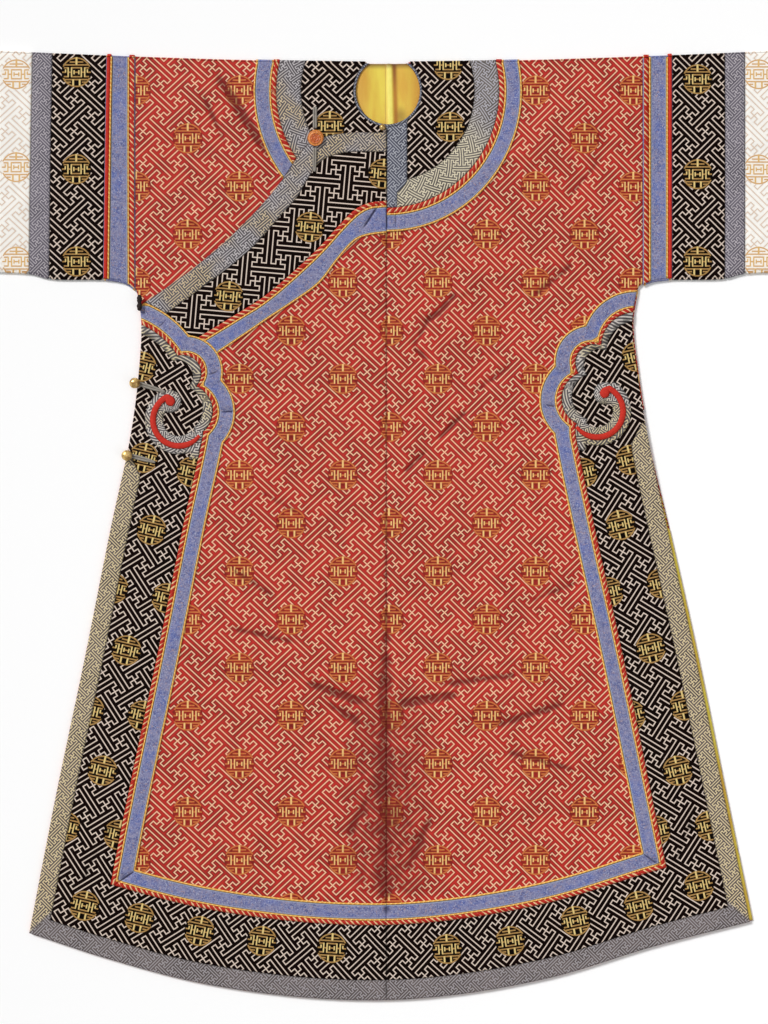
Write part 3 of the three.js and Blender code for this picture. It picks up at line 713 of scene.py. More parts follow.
# ---------------------------------------------------------------- pattern coordinates
FRET_UNIT = 7.05  # a fret line's pitch
FINE_UNIT = 3.5  # the same on the grey edgings
CELL_UNITS = 7.5  # of the fret between one column of roundels and the next
FIELD_ROW = {"start": 74.6, "step": 72}
FIELD_COLUMNS = {  # x of one column, its number and the step to the next
    "left": {"x": -65.3, "number": 0, "step": 77.4},
    "right": {"x": 76.8, "number": 2, "step": 73.2},
}


def lattice_fret(column, row):
    u, v = CELL_UNITS * (column - row) - 2.45, CELL_UNITS * (column + row) + 0.4
    return rows_of(u, v)


def field_fret(side):
    """Diagonal fret of one half, on the lattice of its roundels."""
    columns = FIELD_COLUMNS[side]

    def rows(points):
        column = columns["number"] + (points[:, 0] - columns["x"]) / columns["step"]
        return lattice_fret(column, (points[:, 1] - FIELD_ROW["start"]) / FIELD_ROW["step"])
    return rows


def turned_fret(unit, degrees, origin=(0, 0)):
    turn = math.radians(degrees)

    def rows(points):
        dx, dy = points[:, 0] - origin[0], points[:, 1] - origin[1]
        u = (dx * math.cos(turn) + dy * math.sin(turn)) / unit
        v = (dy * math.cos(turn) - dx * math.sin(turn)) / unit
        return rows_of(u, v)
    return rows


def bent_fret(centre, radius, unit, cut):
    """Diagonal fret laid round a point, true to size at a radius; its join is in the direction of cut."""
    def rows(points):
        dx, dy = (points - np.array(centre)).T
        along = radius * np.radians((np.degrees(np.arctan2(dy, dx)) - cut) % 360)
        out = np.hypot(dx, dy)
        return rows_of(along + out, out - along) / (unit * math.sqrt(2))
    return rows


def field_medals(side):
    x, number, step = (FIELD_COLUMNS[side][key] for key in ("x", "number", "step"))
    return [
        (x + step * (column - number), FIELD_ROW["start"] + FIELD_ROW["step"] * row)
        for column in range(-7, 9)
        for row in range(-12, 11)
        if (column + row) % 2 == 0
    ]


def medals(centres, turns=0.0):
    """Offsets from the nearest roundel along its own axes, with 1 where it is near."""
    places = np.array(centres, float)
    tree = tree_of(places)
    turns = np.radians(np.broadcast_to(turns, len(places)))

    def rows(points):
        nearest = [tree.find((x, y, 0))[1] for x, y in points]
        dx, dy = (points - places[nearest]).T
        cos, sin = np.cos(turns[nearest]), np.sin(turns[nearest])
        near = np.hypot(dx, dy) < MEDAL_REACH
        return rows_of(dx * cos + dy * sin, dy * cos - dx * sin, near)
    return rows


PIXEL = 1.5  # millimetres to a pixel of the photograph
PHOTO_MIDDLE = (386.5, 525)  # the pixel that is the frame's origin


def pixel(px, py):
    """A place in the photograph's frame, in millimetres."""
    return (px - PHOTO_MIDDLE[0]) * PIXEL, (PHOTO_MIDDLE[1] - py) * PIXEL


MEDAL_REACH = 34
RED = {side: {"fret": field_fret(side), "medal": medals(field_medals(side))} for side in SIGN}
COLLAR_MEDALS = [pixel(*p) for p in ((450, 128), (330, 127), (448, 66))]
BAND_TURN = -5
BAND_MEDALS = [pixel(*p) for p in ((383, 175), (310, 228), (229, 297))]
SLEEVE_MEDALS = {
    "left": [pixel(77, y) for y in (73, 170, 262)],
    "right": [pixel(697, y) for y in (80, 175, 262)],
}
CUFF_MEDALS = {
    "left": [pixel(17, y) for y in (75, 168, 262)],
    "right": [pixel(758, y) for y in (75, 170, 262)],
}
BORDER_MEDALS = {
    "left": [pixel(*p) for p in (
        (152, 530), (127, 650), (103, 770), (85, 905), (114, 588), (167, 598), (90, 710), (143, 715),
        (66, 826), (119, 834), (140, 917), (200, 930), (262, 940), (332, 947), (142, 367), (144, 458),
        (192, 472))],
    "right": [pixel(*p) for p in (
        (620, 525), (650, 648), (677, 770), (698, 885), (661, 583), (608, 592), (684, 705), (630, 715),
        (709, 825), (655, 830), (447, 948), (510, 940), (575, 920), (638, 905), (636, 357), (630, 460),
        (582, 473))],
}


BEND = {"centre": (0, 740), "radius": 1450, "turn": 13}  # the border's cloth follows the hem's arc


def border_turn(points):
    """Degrees that the border's cloth is turned by, from nothing at the middle of the hem."""
    x, y = np.transpose(points) - np.array(BEND["centre"])[:, None]
    return np.clip(np.degrees(np.arctan2(x, -y)), -BEND["turn"], BEND["turn"])


def border_fret(points):
    """Diagonal fret that runs level at the middle of the hem and leans with either side."""
    turn = np.radians(border_turn(points))
    x, y = (points - np.array(BEND["centre"])).T
    along = BEND["radius"] * turn + x * np.cos(turn) + y * np.sin(turn)
    up = BEND["radius"] - (x * np.sin(turn) - y * np.cos(turn))
    return lattice_fret(along / FIELD_COLUMNS["right"]["step"], up / FIELD_ROW["step"])


def strip_rows(line):
    """Along and across a line, in millimetres, for ribbons, cords and edgings."""
    line = resampled(np.asarray(line, float), 3)
    tree = tree_of(line)
    tangent = np.gradient(line, axis=0)
    tangent /= np.linalg.norm(tangent, axis=1)[:, None]

    def rows(points):
        nearest = np.array([tree.find((x, y, 0))[1] for x, y in points])
        offset = points - line[nearest]
        along = nearest * 3.0 + np.einsum("ij,ij->i", offset, tangent[nearest])
        across = tangent[nearest][:, 0] * offset[:, 1] - tangent[nearest][:, 1] * offset[:, 0]
        return rows_of(along, across)
    return rows


# ---------------------------------------------------------------- shader arithmetic
class Field:
    """A shader value that takes part in arithmetic."""

    def __init__(self, graph, socket):
        self.graph, self.socket = graph, socket

    def __add__(self, other):
        return self.graph.math("ADD", self, other)

    def __sub__(self, other):
        return self.graph.math("SUBTRACT", self, other)

    def __rsub__(self, other):
        return self.graph.math("SUBTRACT", other, self)

    def __mul__(self, other):
        return self.graph.math("MULTIPLY", self, other)

    def __truediv__(self, other):
        return self.graph.math("DIVIDE", self, other)

    def __abs__(self):
        return self.graph.math("ABSOLUTE", self)

    def least(self, other):
        return self.graph.math("MINIMUM", self, other)

    def most(self, other):
        return self.graph.math("MAXIMUM", self, other)


class Graph:
    """The node tree of one new material."""

    def __init__(self, name):
        self.material = bpy.data.materials.new(name)
        self.material.use_nodes = True
        self.tree = self.material.node_tree
        self.shader = self.tree.nodes["Principled BSDF"]

    def put(self, socket, value):
        """Links a field or sets a constant; a colour is given by its 0 to 255 values on screen or by dim."""
        if isinstance(value, Field):
            self.tree.links.new(value.socket, socket)
        elif socket.type == "RGBA":
            socket.default_value = (*(linear(value) if max(value) > 1 else value), 1)
        else:
            socket.default_value = value

    def node(self, kind, settings=(), **inputs):
        node = self.tree.nodes.new("ShaderNode" + kind)
        for key, value in dict(settings).items():
            setattr(node, key, value)
        for key, value in inputs.items():
            self.put(node.inputs[key], value)
        return node

    def math(self, operation, *values):
        node = self.node("Math", {"operation": operation})
        for socket, value in zip(node.inputs, values):
            self.put(socket, value)
        return Field(self, node.outputs[0])

    def mix(self, amount, first, second):
        node = self.node("Mix", {"data_type": "RGBA"})
        self.put(node.inputs["Factor"], amount)
        self.put(node.inputs[6], first)
        self.put(node.inputs[7], second)
        return Field(self, node.outputs[2])

    def ramp(self, value, low, high):
        """0 below low, 1 above high, smooth between."""
        node = self.node("MapRange", {"interpolation_type": "SMOOTHSTEP"})
        for name, number in (("Value", value), ("From Min", low), ("From Max", high)):
            self.put(node.inputs[name], number)
        return Field(self, node.outputs[0])

    def attribute(self, name):
        node = self.node("Attribute", {"attribute_name": name})
        split = self.node("SeparateXYZ")
        self.tree.links.new(node.outputs["Vector"], split.inputs[0])
        return [Field(self, output) for output in split.outputs]

    def position(self):
        split = self.node("SeparateXYZ")
        place = self.node("TexCoord")
        self.tree.links.new(place.outputs["Object"], split.inputs[0])
        return [Field(self, output) for output in split.outputs]

    def noise(self, size, detail=2.0, stretch=(1, 1, 1)):
        """Noise with features of about that many millimetres."""
        place = self.node("TexCoord")
        mapping = self.node("Mapping")
        mapping.inputs["Scale"].default_value = [s / (size * MM) for s in stretch]
        self.tree.links.new(place.outputs["Object"], mapping.inputs["Vector"])
        noise = self.node("TexNoise", Scale=1.0, Detail=detail)
        self.tree.links.new(mapping.outputs[0], noise.inputs["Vector"])
        return Field(self, noise.outputs["Fac"])

    def flecked(self, colour, other, share, size, detail, low, high):
        """Another colour in spots, where noise of that size is high."""
        return self.mix(self.ramp(self.noise(size, detail), low, high) * share, colour, other)

    def bump(self, height, distance, strength=1.0):
        node = self.node("Bump", Strength=strength, Distance=distance * MM)
        self.put(node.inputs["Height"], height)
        self.tree.links.new(node.outputs[0], self.shader.inputs["Normal"])

    def finish(self, colour, roughness, **constants):
        self.put(self.shader.inputs["Base Color"], colour)
        self.put(self.shader.inputs["Roughness"], roughness)
        for name, value in constants.items():
            self.shader.inputs[name.replace("_", " ")].default_value = value
        return self.material


def linear(colour):
    return tuple(((c / 255 + 0.055) / 1.055) ** 2.4 if c > 10 else c / 255 / 12.92 for c in colour)


def dim(colour, share):
    """The share of a colour's light."""
    return tuple(c * share for c in linear(colour))


# ---------------------------------------------------------------- woven patterns
def fret_distance(g, u, v, half):
    """Distance to a key fret of interlocked crosses, whose cell of 5 units mirrors at its edges."""
    x = g.math("PINGPONG", u + 2.5, 5.0) - 2.5
    y = g.math("PINGPONG", v + 2.5, 5.0) - 2.5
    same = g.math("GREATER_THAN", x * y, 0.0)
    a, b = abs(x), abs(y)
    across = b + (a - b) * same
    up = a + (b - a) * same
    stems = abs(across - g.math("ROUND", across)) - half
    stems = stems.most(up - (1 + half))
    foot = (up - half).most(across - (1 + half))
    arm = (abs(up - 1.0) - half).most(abs(across - 1.5) - (0.5 + half))
    rail = abs(up - 2.0) - half
    return stems.least(foot).least(arm).least(rail)


MEDAL_RADIUS = 22.5
MEDAL_LINE = 0.26  # half width of its lines, with the rest in sixths of the radius
MEDAL_RIM = {"radius": 5.7, "from": 2.3}
MEDAL_BARS = (  # middle x, middle y, half width, half height, in sixths of the radius, both halves
    (0, 4.55, 0.36, 1.5),
    (0, 4.1, 2.7, MEDAL_LINE),
    (0, 2.95, 4.6, MEDAL_LINE),
    (0, 1.8, 2.1, MEDAL_LINE),
    (0, -1.8, 2.1, MEDAL_LINE),
    (1.95, 0, MEDAL_LINE, 1.9),
    (0, 0, 1.0, MEDAL_LINE),
    (0.95, 0, MEDAL_LINE, 0.8),
    (2.7, 0, 0.7, MEDAL_LINE),
    (3.3, 0, MEDAL_LINE, 1.9),
    (4.1, 1.75, 0.9, MEDAL_LINE),
    (4.1, -1.75, 0.9, MEDAL_LINE),
    (4.95, 0, 0.7, MEDAL_LINE),
    (4.35, 0.55, MEDAL_LINE, 0.6),
    (0, -2.95, 4.6, MEDAL_LINE),
    (3.0, -4.0, 0.8, MEDAL_LINE),
    (1.3, -4.1, MEDAL_LINE * 1.3, 1.2),
)


def medal_lines(g, x, y, near):
    """A roundel of straight bars between two domes: its level lines, its upright ones and its disc."""
    side = abs(x) * (6 / MEDAL_RADIUS)
    up = y * (6 / MEDAL_RADIUS)
    radius = g.math("SQRT", side * side + up * up)
    rim = (abs(radius - MEDAL_RIM["radius"]) - MEDAL_LINE).most(MEDAL_RIM["from"] - abs(up))
    level, upright = rim, None
    for middle_x, middle_y, half_width, half_height in MEDAL_BARS:
        bar = (abs(side - middle_x) - half_width).most(abs(up - middle_y) - half_height)
        if half_width > half_height:
            level = level.least(bar)
        else:
            upright = bar if upright is None else upright.least(bar)
    present = g.math("GREATER_THAN", near, 0.99)
    disc = (1.0 - g.ramp(radius, 5.9, 6.15)) * present
    level, upright = ((1.0 - g.ramp(distance, -0.08, 0.1)) * disc for distance in (level, upright))
    return level, upright, disc


def weave(g, size):
    """Fine crossing threads, as a height from 0 to 1."""
    x, y, _ = g.position()
    turns = 2 * math.pi / (size * MM)
    warp = g.math("SINE", x * turns)
    weft = g.math("SINE", y * turns)
    return warp * weft * 0.5 + 0.5


MITRE = {"slope": 0.87, "lean": 0.023}  # of the hem's corners, where a faded edging changes


def brocade(name, ground, line, medal=None, half=0.13, gloss=0.2, wear=0.1, aged=None, fade=None, shadow_and_blotch=0.8):
    """Silk with a fret in raised thread, a painted shadow beside its lines, and roundels where it has them;
    painted shade along its sewn seams and in its creases.
    """
    g = Graph(name)
    u, v, _ = g.attribute("fret")
    distance = fret_distance(g, u, v, half)
    lines = 1.0 - g.ramp(distance, -0.05, 0.07)
    # Painted shadow of the raised threads, on both sides of each line.
    beside = 1.0 - g.ramp(distance, 0.02, 0.36)
    fine = g.noise(2.2, 2.0)
    colour = g.mix(g.noise(90, 3.0) * wear * 2 + fine * wear * 0.6, ground, dim(ground, 0.5))
    blotch = g.ramp(g.noise(34, 3.0), 0.42, 0.62)
    # Painted thread shadow, patchy, then random darker patches; both scale with the same argument.
    colour = g.mix(beside * (blotch * 0.45 + 0.55) * shadow_and_blotch, colour, dim(ground, 0.2))
    colour = g.mix(blotch * shadow_and_blotch * 0.22, colour, dim(ground, 0.24))
    if aged:
        x, y, _ = g.position()
        mitre = y + abs(x) * MITRE["slope"] - x * MITRE["lean"]
        older = 1.0 - g.ramp(mitre, *fade) if fade else g.ramp(g.noise(55, 2.0), 0.4, 0.62)
        line_colour = g.mix(older, line, aged)
        thread = g.mix(fine * 0.4, line_colour, dim(line, 0.5))
    else:
        thread = g.mix(fine * 0.36, line, dim(line, 0.6))
    if medal:
        level, upright, disc = medal_lines(g, *g.attribute("medal"))
        lines = lines * (1.0 - disc)
        colour = g.mix(lines, colour, thread)
        colour = g.mix(disc * 0.6, colour, medal[3])
        colour = g.mix(level, colour, g.mix(g.noise(3.0, 1.0), medal[0], medal[1]))
        colour = g.mix(upright, colour, g.mix(g.noise(5.0, 1.0) * 0.6, medal[2], medal[0]))
        lines = lines.most(level).most(upright)
    else:
        colour = g.mix(lines, colour, thread)
    # Painted shade: darker along sewn seams, and in the creases and puckers that the seam attribute's second
    # value carries.
    seam, crease, _ = g.attribute("seam")
    painted_shade = dim(ground, 0.22)
    colour = g.mix(g.ramp(seam, 0.0, 2.6), g.mix(0.5, colour, painted_shade), colour)
    broken = crease * (g.noise(11, 2.0) * 2.0 + 0.1)
    colour = g.mix(g.ramp(broken, 0.2, 1.0) * 0.75, colour, painted_shade)
    height = lines * 0.4 + weave(g, 0.9) * 0.3 + g.noise(14, 3.0) * 1.2
    g.bump(height, 0.45, 0.8)
    return g.finish(colour, 0.62, Specular_IOR_Level=gloss)


RIBBON_EDGES = (  # where each ends, in millimetres from the seam
    (4.0, 4.6, (160, 168, 186)),
    (3.1, 3.5, (64, 70, 78)),
    (2.3, 2.7, (226, 170, 84)),
)


def ribbon_weave(name):
    """Blue silk ribbon with flecks; its edges are yellow under the cords, then dark, then pale."""
    g = Graph(name)
    along, across, _ = g.attribute("strip")
    flecks = g.noise(2.6, 3.0)
    colour = g.mix(g.ramp(flecks, 0.36, 0.64), (84, 90, 138), (140, 144, 182))
    colour = g.flecked(colour, (178, 146, 140), 0.8, 3.2, 2.0, 0.57, 0.68)
    colour = g.mix(g.noise(60, 2.0) * 0.5, colour, (92, 98, 138))
    colour = g.flecked(colour, (80, 104, 178), 0.42, 44, 2.0, 0.46, 0.64)
    colour = g.flecked(colour, (196, 198, 216), 0.6, 1.5, 1.0, 0.58, 0.68)
    colour = g.flecked(colour, (150, 146, 172), 0.45, 9, 2.0, 0.4, 0.65)
    seam, crease, _ = g.attribute("seam")
    # Painted shade in the ribbon's creases and folds.
    colour = g.mix(g.ramp(crease, 0.1, 0.6) * 0.75, colour, (52, 52, 84))
    for low, high, edge in RIBBON_EDGES:
        colour = g.mix(g.ramp(seam, low, high), edge, colour)
    twill = g.math("SINE", (along + across) * 4.2) * 0.5 + 0.5
    g.bump(twill * 0.4 + flecks * 0.8, 0.4, 0.8)
    return g.finish(colour, 0.7, Specular_IOR_Level=0.2)


def twisted(name, first, second, pitch, share=0.0, uneven=0.0, dark=0.35):
    """Cord of two colours laid round each other, by its length and its turn."""
    g = Graph(name)
    along, across, _ = g.attribute("strip")
    phase = g.math("SINE", (along + across) * (2 * math.pi / pitch))
    laid = phase + (g.noise(8, 1.0) - 0.5) * uneven
    colour = g.mix(g.ramp(laid, share - 0.2, share + 0.2), first, second)
    colour = g.mix(g.noise(1.6, 2.0) * dark, colour, dim(first, 0.4))
    g.bump(abs(phase) * 0.8 + g.noise(1.2, 1.0) * 0.3, 0.6, 0.9)
    return g.finish(colour, 0.65, Specular_IOR_Level=0.2)


def plain_cloth(name, colour, dark, roughness, grain):
    g = Graph(name)
    shade = g.mix(g.noise(grain, 3.0) * 0.8, colour, dark)
    g.bump(g.noise(1.4, 3.0) + weave(g, 0.8) * 0.4, 0.4, 0.7)
    return g.finish(shade, roughness, Specular_IOR_Level=0.2)


def satin(name):
    """Yellow silk in streaks that run down, with painted shade: orange towards its sides, painted shadow in
    its fold, under its top edge and in a thin line, and a painted highlight on its ridge.
    """
    g = Graph(name)
    x, y, _ = g.position()
    streaks = g.noise(26, 3.0, (1.0, 0.22, 1.0))
    colour = g.mix(g.ramp(streaks, 0.35, 0.7), (236, 214, 82), (222, 172, 62))
    # Painted shade, orange towards both sides of the neck opening.
    sides = g.ramp(abs(x - 0.002), 0.018, 0.044) * g.math("LESS_THAN", abs(x), 0.1)
    colour = g.mix(sides * 0.75, colour, (211, 150, 56))
    down = SHOULDER_LOW * MM - y
    # Painted highlight along the ridge of the fold.
    ridge = g.ramp(abs(x - 0.004 - down * 0.022), 0.0015, 0.006)
    colour = g.mix(ridge, (246, 232, 112), colour)
    # Painted shadow in the fold beside the ridge, darkest at the top.
    fold = g.ramp(abs(x - 0.0115 - down * 0.03), 0.0003, 0.006)
    deep = g.mix(g.ramp(down, 0.0, 0.05), (146, 88, 34), (190, 128, 46))
    colour = g.mix(fold, deep, colour)
    # Painted shadow under the top edge.
    colour = g.mix(g.ramp(y, 0.681, 0.6915) * 0.85, colour, (104, 66, 28))
    # Painted shadow in a thin line left of the ridge.
    colour = g.mix(g.ramp(abs(x + 0.0015), 0.0, 0.0016) * 0.5 + 0.5, (170, 120, 44), colour)
    spot_x, spot_y = x - 0.0215, (y - 0.6135) * 0.7
    spot = g.math("SQRT", spot_x * spot_x + spot_y * spot_y)
    colour = g.mix(g.ramp(spot, 0.001, 0.013) * 0.6 + 0.4, (134, 84, 30), colour)
    rib = g.math("SINE", y * (2 * math.pi / (1.1 * MM)))
    g.bump(rib * 0.25 + g.noise(9, 3.0, (1.0, 0.3, 1.0)), 0.5, 0.6)
    return g.finish(colour, 0.38, Specular_IOR_Level=0.4, Anisotropic=0.4)


def carved_wood(name):
    """Orange wood or horn, paler on its rim and darker in the carving."""
    g = Graph(name)
    x, y, _ = g.position()
    x, y = x + 0.1065, y - 0.577  # from the disc's middle
    reach = g.math("SQRT", x * x + y * y)
    colour = g.mix(g.ramp(reach, 0.0062, 0.0084), (204, 96, 26), (230, 142, 60))
    rings = g.math("SINE", reach * (2 * math.pi / 0.0034)) * 0.5 + 0.5
    colour = g.mix(rings * 0.5, colour, (146, 64, 16))
    colour = g.flecked(colour, (120, 52, 20), 0.6, 1.7, 2.0, 0.5, 0.66)
    g.bump(rings * 0.5 + g.noise(1.8, 3.0), 0.8, 0.9)
    return g.finish(colour, 0.38)


def old_brass(name):
    g = Graph(name)
    tarnish = g.ramp(g.noise(5.0, 4.0), 0.4, 0.65)
    colour = g.mix(tarnish, (226, 190, 120), (150, 112, 60))
    g.bump(g.noise(1.5, 3.0), 0.3, 0.5)
    return g.finish(colour, 0.3, Metallic=0.4)


def silk_cord(name):
    """Narrow cord of grey silk whose threads show as fine slanting lines."""
    g = Graph(name)
    along, across, _ = g.attribute("strip")
    lines = g.math("SINE", (along + across) * (2 * math.pi / 1.6)) * 0.5 + 0.5
    colour = g.mix(lines * 0.5, (150, 144, 136), (206, 198, 184))
    colour = g.mix(g.noise(6, 3.0) * 0.7, colour, (104, 96, 88))
    g.bump(lines * 0.6 + g.noise(1.2, 2.0) * 0.4, 0.35, 0.8)
    return g.finish(colour, 0.7, Specular_IOR_Level=0.2)


GOLD_ON_RED = ((218, 132, 70), (184, 92, 44), (246, 212, 136), (136, 28, 20))
GOLD_ON_BLACK = ((190, 152, 92), (150, 110, 62), (236, 212, 140), (12, 8, 6))
TAN_ON_IVORY = ((222, 180, 122), (204, 152, 98), (226, 182, 112), (250, 240, 226))
BROCADES = {  # ground and line, then what isn't as in plain brocade
    "red_silk": ((200, 44, 36), (252, 200, 162), {
        "medal": GOLD_ON_RED, "half": 0.115, "wear": 0.14, "shadow_and_blotch": 0.95}),
    "black_silk": ((18, 6, 4), (234, 214, 198), {
        "medal": GOLD_ON_BLACK, "half": 0.105, "gloss": 0.03}),
    "grey_edging": ((112, 106, 110), (206, 200, 202), {
        "half": 0.17, "wear": 0.28, "aged": (226, 202, 158)}),
    "cream_edging": ((126, 118, 112), (190, 186, 194), {
        "half": 0.2, "wear": 0.22, "aged": (240, 228, 194), "fade": (0.66, 0.75)}),
    "scroll_edging": ((112, 106, 108), (222, 214, 206), {
        "half": 0.19, "wear": 0.25, "aged": (226, 208, 160)}),
    "strip_edging": ((104, 106, 124), (184, 186, 194), {"half": 0.16, "wear": 0.3}),
    "border_edging": ((118, 106, 104), (232, 212, 168), {
        "half": 0.2, "wear": 0.28, "aged": (160, 156, 166), "fade": (-0.135, -0.126)}),
    "sleeve_grey": ((124, 118, 130), (196, 188, 194), {"half": 0.15, "wear": 0.25}),
    "ivory_silk": ((255, 251, 244), (228, 200, 176), {
        "medal": TAN_ON_IVORY, "half": 0.09, "wear": 0.02, "shadow_and_blotch": 0.16}),
}
MATERIALS = {name: brocade(name, ground, line, **rest) for name, (ground, line, rest) in BROCADES.items()}
OTHERS = {
    "blue_ribbon": (ribbon_weave, ()),
    "twisted_cord": (twisted, ((186, 40, 27), (244, 204, 152), 8.6, 0.66, 2.4)),
    "edge_cord": (twisted, ((255, 210, 118), (238, 168, 78), EDGE_PITCH, 0.0, 0.0, 0.2)),
    "loop_cord": (silk_cord, ()),
    "scarlet_piping": (plain_cloth, ((214, 52, 34), (160, 30, 22), 0.6, 6)),
    "yellow_satin": (satin, ()),
    "dark_cord": (plain_cloth, ((46, 34, 32), (18, 14, 14), 0.7, 3)),
    "carved_button": (carved_wood, ()),
    "brass_button": (old_brass, ()),
}
MATERIALS.update({name: maker(name, *rest) for name, (maker, rest) in OTHERS.items()})


def add_mesh(name, node, finish, mesh, scale=MM):
    """Makes an object of vertices, faces and attribute rows, in place of a CAD node where it has one."""
    verts, faces, rows = mesh
    data = bpy.data.meshes.new(name)
    data.from_pydata((verts * scale).tolist(), [], faces)
    data.validate()
    for key, values in rows.items():
        attribute = data.attributes.new(key, "FLOAT_VECTOR", "POINT")
        attribute.data.foreach_set("vector", np.asarray(values, np.float32).ravel())
    data.polygons.foreach_set("use_smooth", np.ones(len(data.polygons), bool))
    data.materials.append(MATERIALS[finish])
    obj = bpy.data.objects.new(name, data)
    bpy.context.scene.collection.objects.link(obj)
    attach(obj, "root")
    if node:
        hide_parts(node)
    return obj


def plan_area(mask):
    return float(np.sum(np.abs(turn_of(TRIANGLES[mask]))) / 2 * MM ** 2)


def declare(area, width=None):
    """Works out a strip's length from its area and width, and keeps nothing; for a panel it does nothing."""
    if width:
        length = area / (width * MM)
        width * MM


def trim_piece(node, finish, mask, pattern, lay="front", level=LEVEL_TRIM, thickness=TRIM, width=None,
               lip=None, tucked=None):
    """A piece that lies on the cloth; lip is where along X it turns over the shoulder."""
    height = LAPPED if lay == "lapped" else LIE
    roll = 0.75 if thickness == CORD else 0.4
    parts = [sheet_mesh(mask, level, height, thickness, pattern, roll, tucked=tucked)]
    if lip:
        outer = FOLD_RADIUS + GAP + thickness
        parts.append(fold_mesh(shoulder_line(*sorted(lip), 8), 1, pattern, outer, thickness, LIP_SWEEP))
    obj = add_mesh(node + "_cloth", node, finish, joined_meshes(parts))
    if finish == "blue_ribbon":
        edge_cords(node, mask, lay, tucked)
    if width is None or width >= NARROW:
        declare(plan_area(mask), width)
    return obj


def chains(mask, tucked=None):
    """Stretches of a mask's rim that lie inside the garment, longest first."""
    rim = vertex_edges(TRIANGLES[mask])
    middle = middles(rim)
    rim = rim[is_sewn(middle, tucked) & (np.abs(middle[:, 0]) > ON_CENTRE)]
    following = {int(a): int(b) for a, b in rim}
    found = []
    for start in sorted(set(following) - set(following.values())):
        chain = [start]
        while chain[-1] in following:
            chain.append(following.pop(chain[-1]))
        found.append(PLAN[chain])
    return sorted(found, key=len, reverse=True)


def surface(points, lay):
    return lie(points) + (lap(points) if lay == "lapped" else 0)


def tube_mesh(line, base, radius, lay, pitch=None, tall=BEYOND):
    """Cord of two plies along a line on the cloth, its axis at base above the cloth's lie."""
    line = resampled(line, CORD_STEP)
    height = base + surface(line, lay)
    radius = np.atleast_1d(radius)
    radius = np.interp(np.linspace(0, 1, len(line)), np.linspace(0, 1, len(radius)), radius)
    angles = np.linspace(0, 2 * math.pi, CORD_SIDES, endpoint=False) - math.pi / 2
    verts, strip = [], []
    for i, (point, out, up, size) in enumerate(zip(line, normals_of(line), height, radius)):
        turn = 2 * math.pi * i * CORD_STEP / pitch if pitch else 0
        for angle in angles:
            reach = size * (1 - PLY + PLY * math.cos(2 * angle - turn)) if pitch else size
            rise = min(reach, tall) * math.sin(angle)
            verts.append((*(point + out * reach * math.cos(angle)), up + rise))
            strip.append((i * CORD_STEP, (angle + math.pi / 2) / (2 * math.pi) * (pitch or 4), 0))
    faces = [list(range(CORD_SIDES)), list(range(len(verts) - CORD_SIDES, len(verts)))[::-1]]
    for i in range(len(line) - 1):
        for k in range(CORD_SIDES):
            a, b = i * CORD_SIDES + k, i * CORD_SIDES + (k + 1) % CORD_SIDES
            faces.append([a, a + CORD_SIDES, b + CORD_SIDES, b])
    return np.array(verts), faces, {"strip": np.array(strip)}


def without_corners(line, step=5, sharp=55, shortest=42):
    """The line cut at its sharp corners, without its short stretches."""
    line = resampled(line, step)
    heading = np.degrees(np.unwrap(np.arctan2(*np.diff(line, axis=0).T[::-1])))
    turning = np.abs(heading[2:] - heading[:-2])
    cuts = [0, *(i + 2 for i in np.flatnonzero(turning > sharp)), len(line)]
    runs = [line[a:b] for a, b in zip(cuts, cuts[1:])]
    return [run for run in runs if (len(run) - 1) * step >= shortest]


def edge_cords(node, mask, lay, tucked=None):
    """The yellow cords sewn along both edges of what shows of a ribbon."""
    tubes = [
        tube_mesh(offset_line(run, EDGE_CORD), LEVEL_TRIM + TRIM, EDGE_CORD, lay, EDGE_PITCH)
        for line in chains(mask, tucked)
        for run in without_corners(line)
    ]
    add_mesh(node + "_cords", None, "edge_cord", joined_meshes(tubes))


def fold_mesh(line, bulge, pattern, outer=FOLD_RADIUS, thickness=WALL, sweep=180):
    """Rounded edge from the front towards the back along a line, bulging to one side of it."""
    middle, inner = FOLD_RADIUS, outer - thickness
    turns = np.radians(np.linspace(0, sweep, 9))
    ring = [(outer * math.sin(t), outer * math.cos(t)) for t in turns]
    ring += [(inner * math.sin(t), inner * math.cos(t)) for t in turns[::-1]]
    verts, plan = [], []
    for point, out in zip(line, normals_of(line) * bulge):
        for reach, up in ring:
            verts.append((*(point + out * reach), middle + up))
            plan.append(point - out * (abs(up) - outer))
    count, size = len(line), len(ring)
    faces = []
    for i in range(count - 1):
        for k in range(size):
            a, b = i * size + k, i * size + (k + 1) % size
            faces.append([a, b, b + size, a + size] if bulge > 0 else [a, a + size, b + size, b])
    cap = list(range(size))
    faces.append(cap[::-1] if bulge > 0 else cap)
    last = [(count - 1) * size + k for k in range(size)]
    faces.append(last if bulge > 0 else last[::-1])
    plan = np.array(plan)
    rows = {key: values(plan) for key, values in pattern.items()}
    reach = np.concatenate([[0], np.cumsum(np.linalg.norm(np.diff(line, axis=0), axis=1))])
    from_seam = np.repeat(np.minimum(reach, reach[-1] - reach), size)
    rows["seam"] = rows_of(from_seam, 0 * from_seam)
    return np.array(verts), faces, rows


FLAT = np.zeros(len(PLAN))
LEVEL_STRIP = {"strip": lambda p: rows_of(p[:, 1], p[:, 0])}
SLEEVE_FOLDS = (700.0, 370.0)  # Y where the ends of a ring's upper and lower folds are taken
LINING_INSET = 1.5
LINING_FOLDS = {"ridge": 2.2, "trough": 1.2, "beside": 0.7}  # heights, in the neck
COLLAR_TURN_RADIUS = 170  # where a collar strip's length is measured
COLLAR_FRET_RADIUS = 149
NECK_ENDS = (-30, 33)  # where the shoulder folds end at the neck
SLIT_TOP = 165


def seam_x(side, name, y):
    """X of a sleeve's seam at a height, or of the sleeve's end."""
    top, low = SLEEVE_SEAMS[side].get(name, [float(SIGN[side] * HALF_SPAN)] * 2)
    return low + (top - low) * (y - SEAM_SPAN[0]) / (SEAM_SPAN[1] - SEAM_SPAN[0])


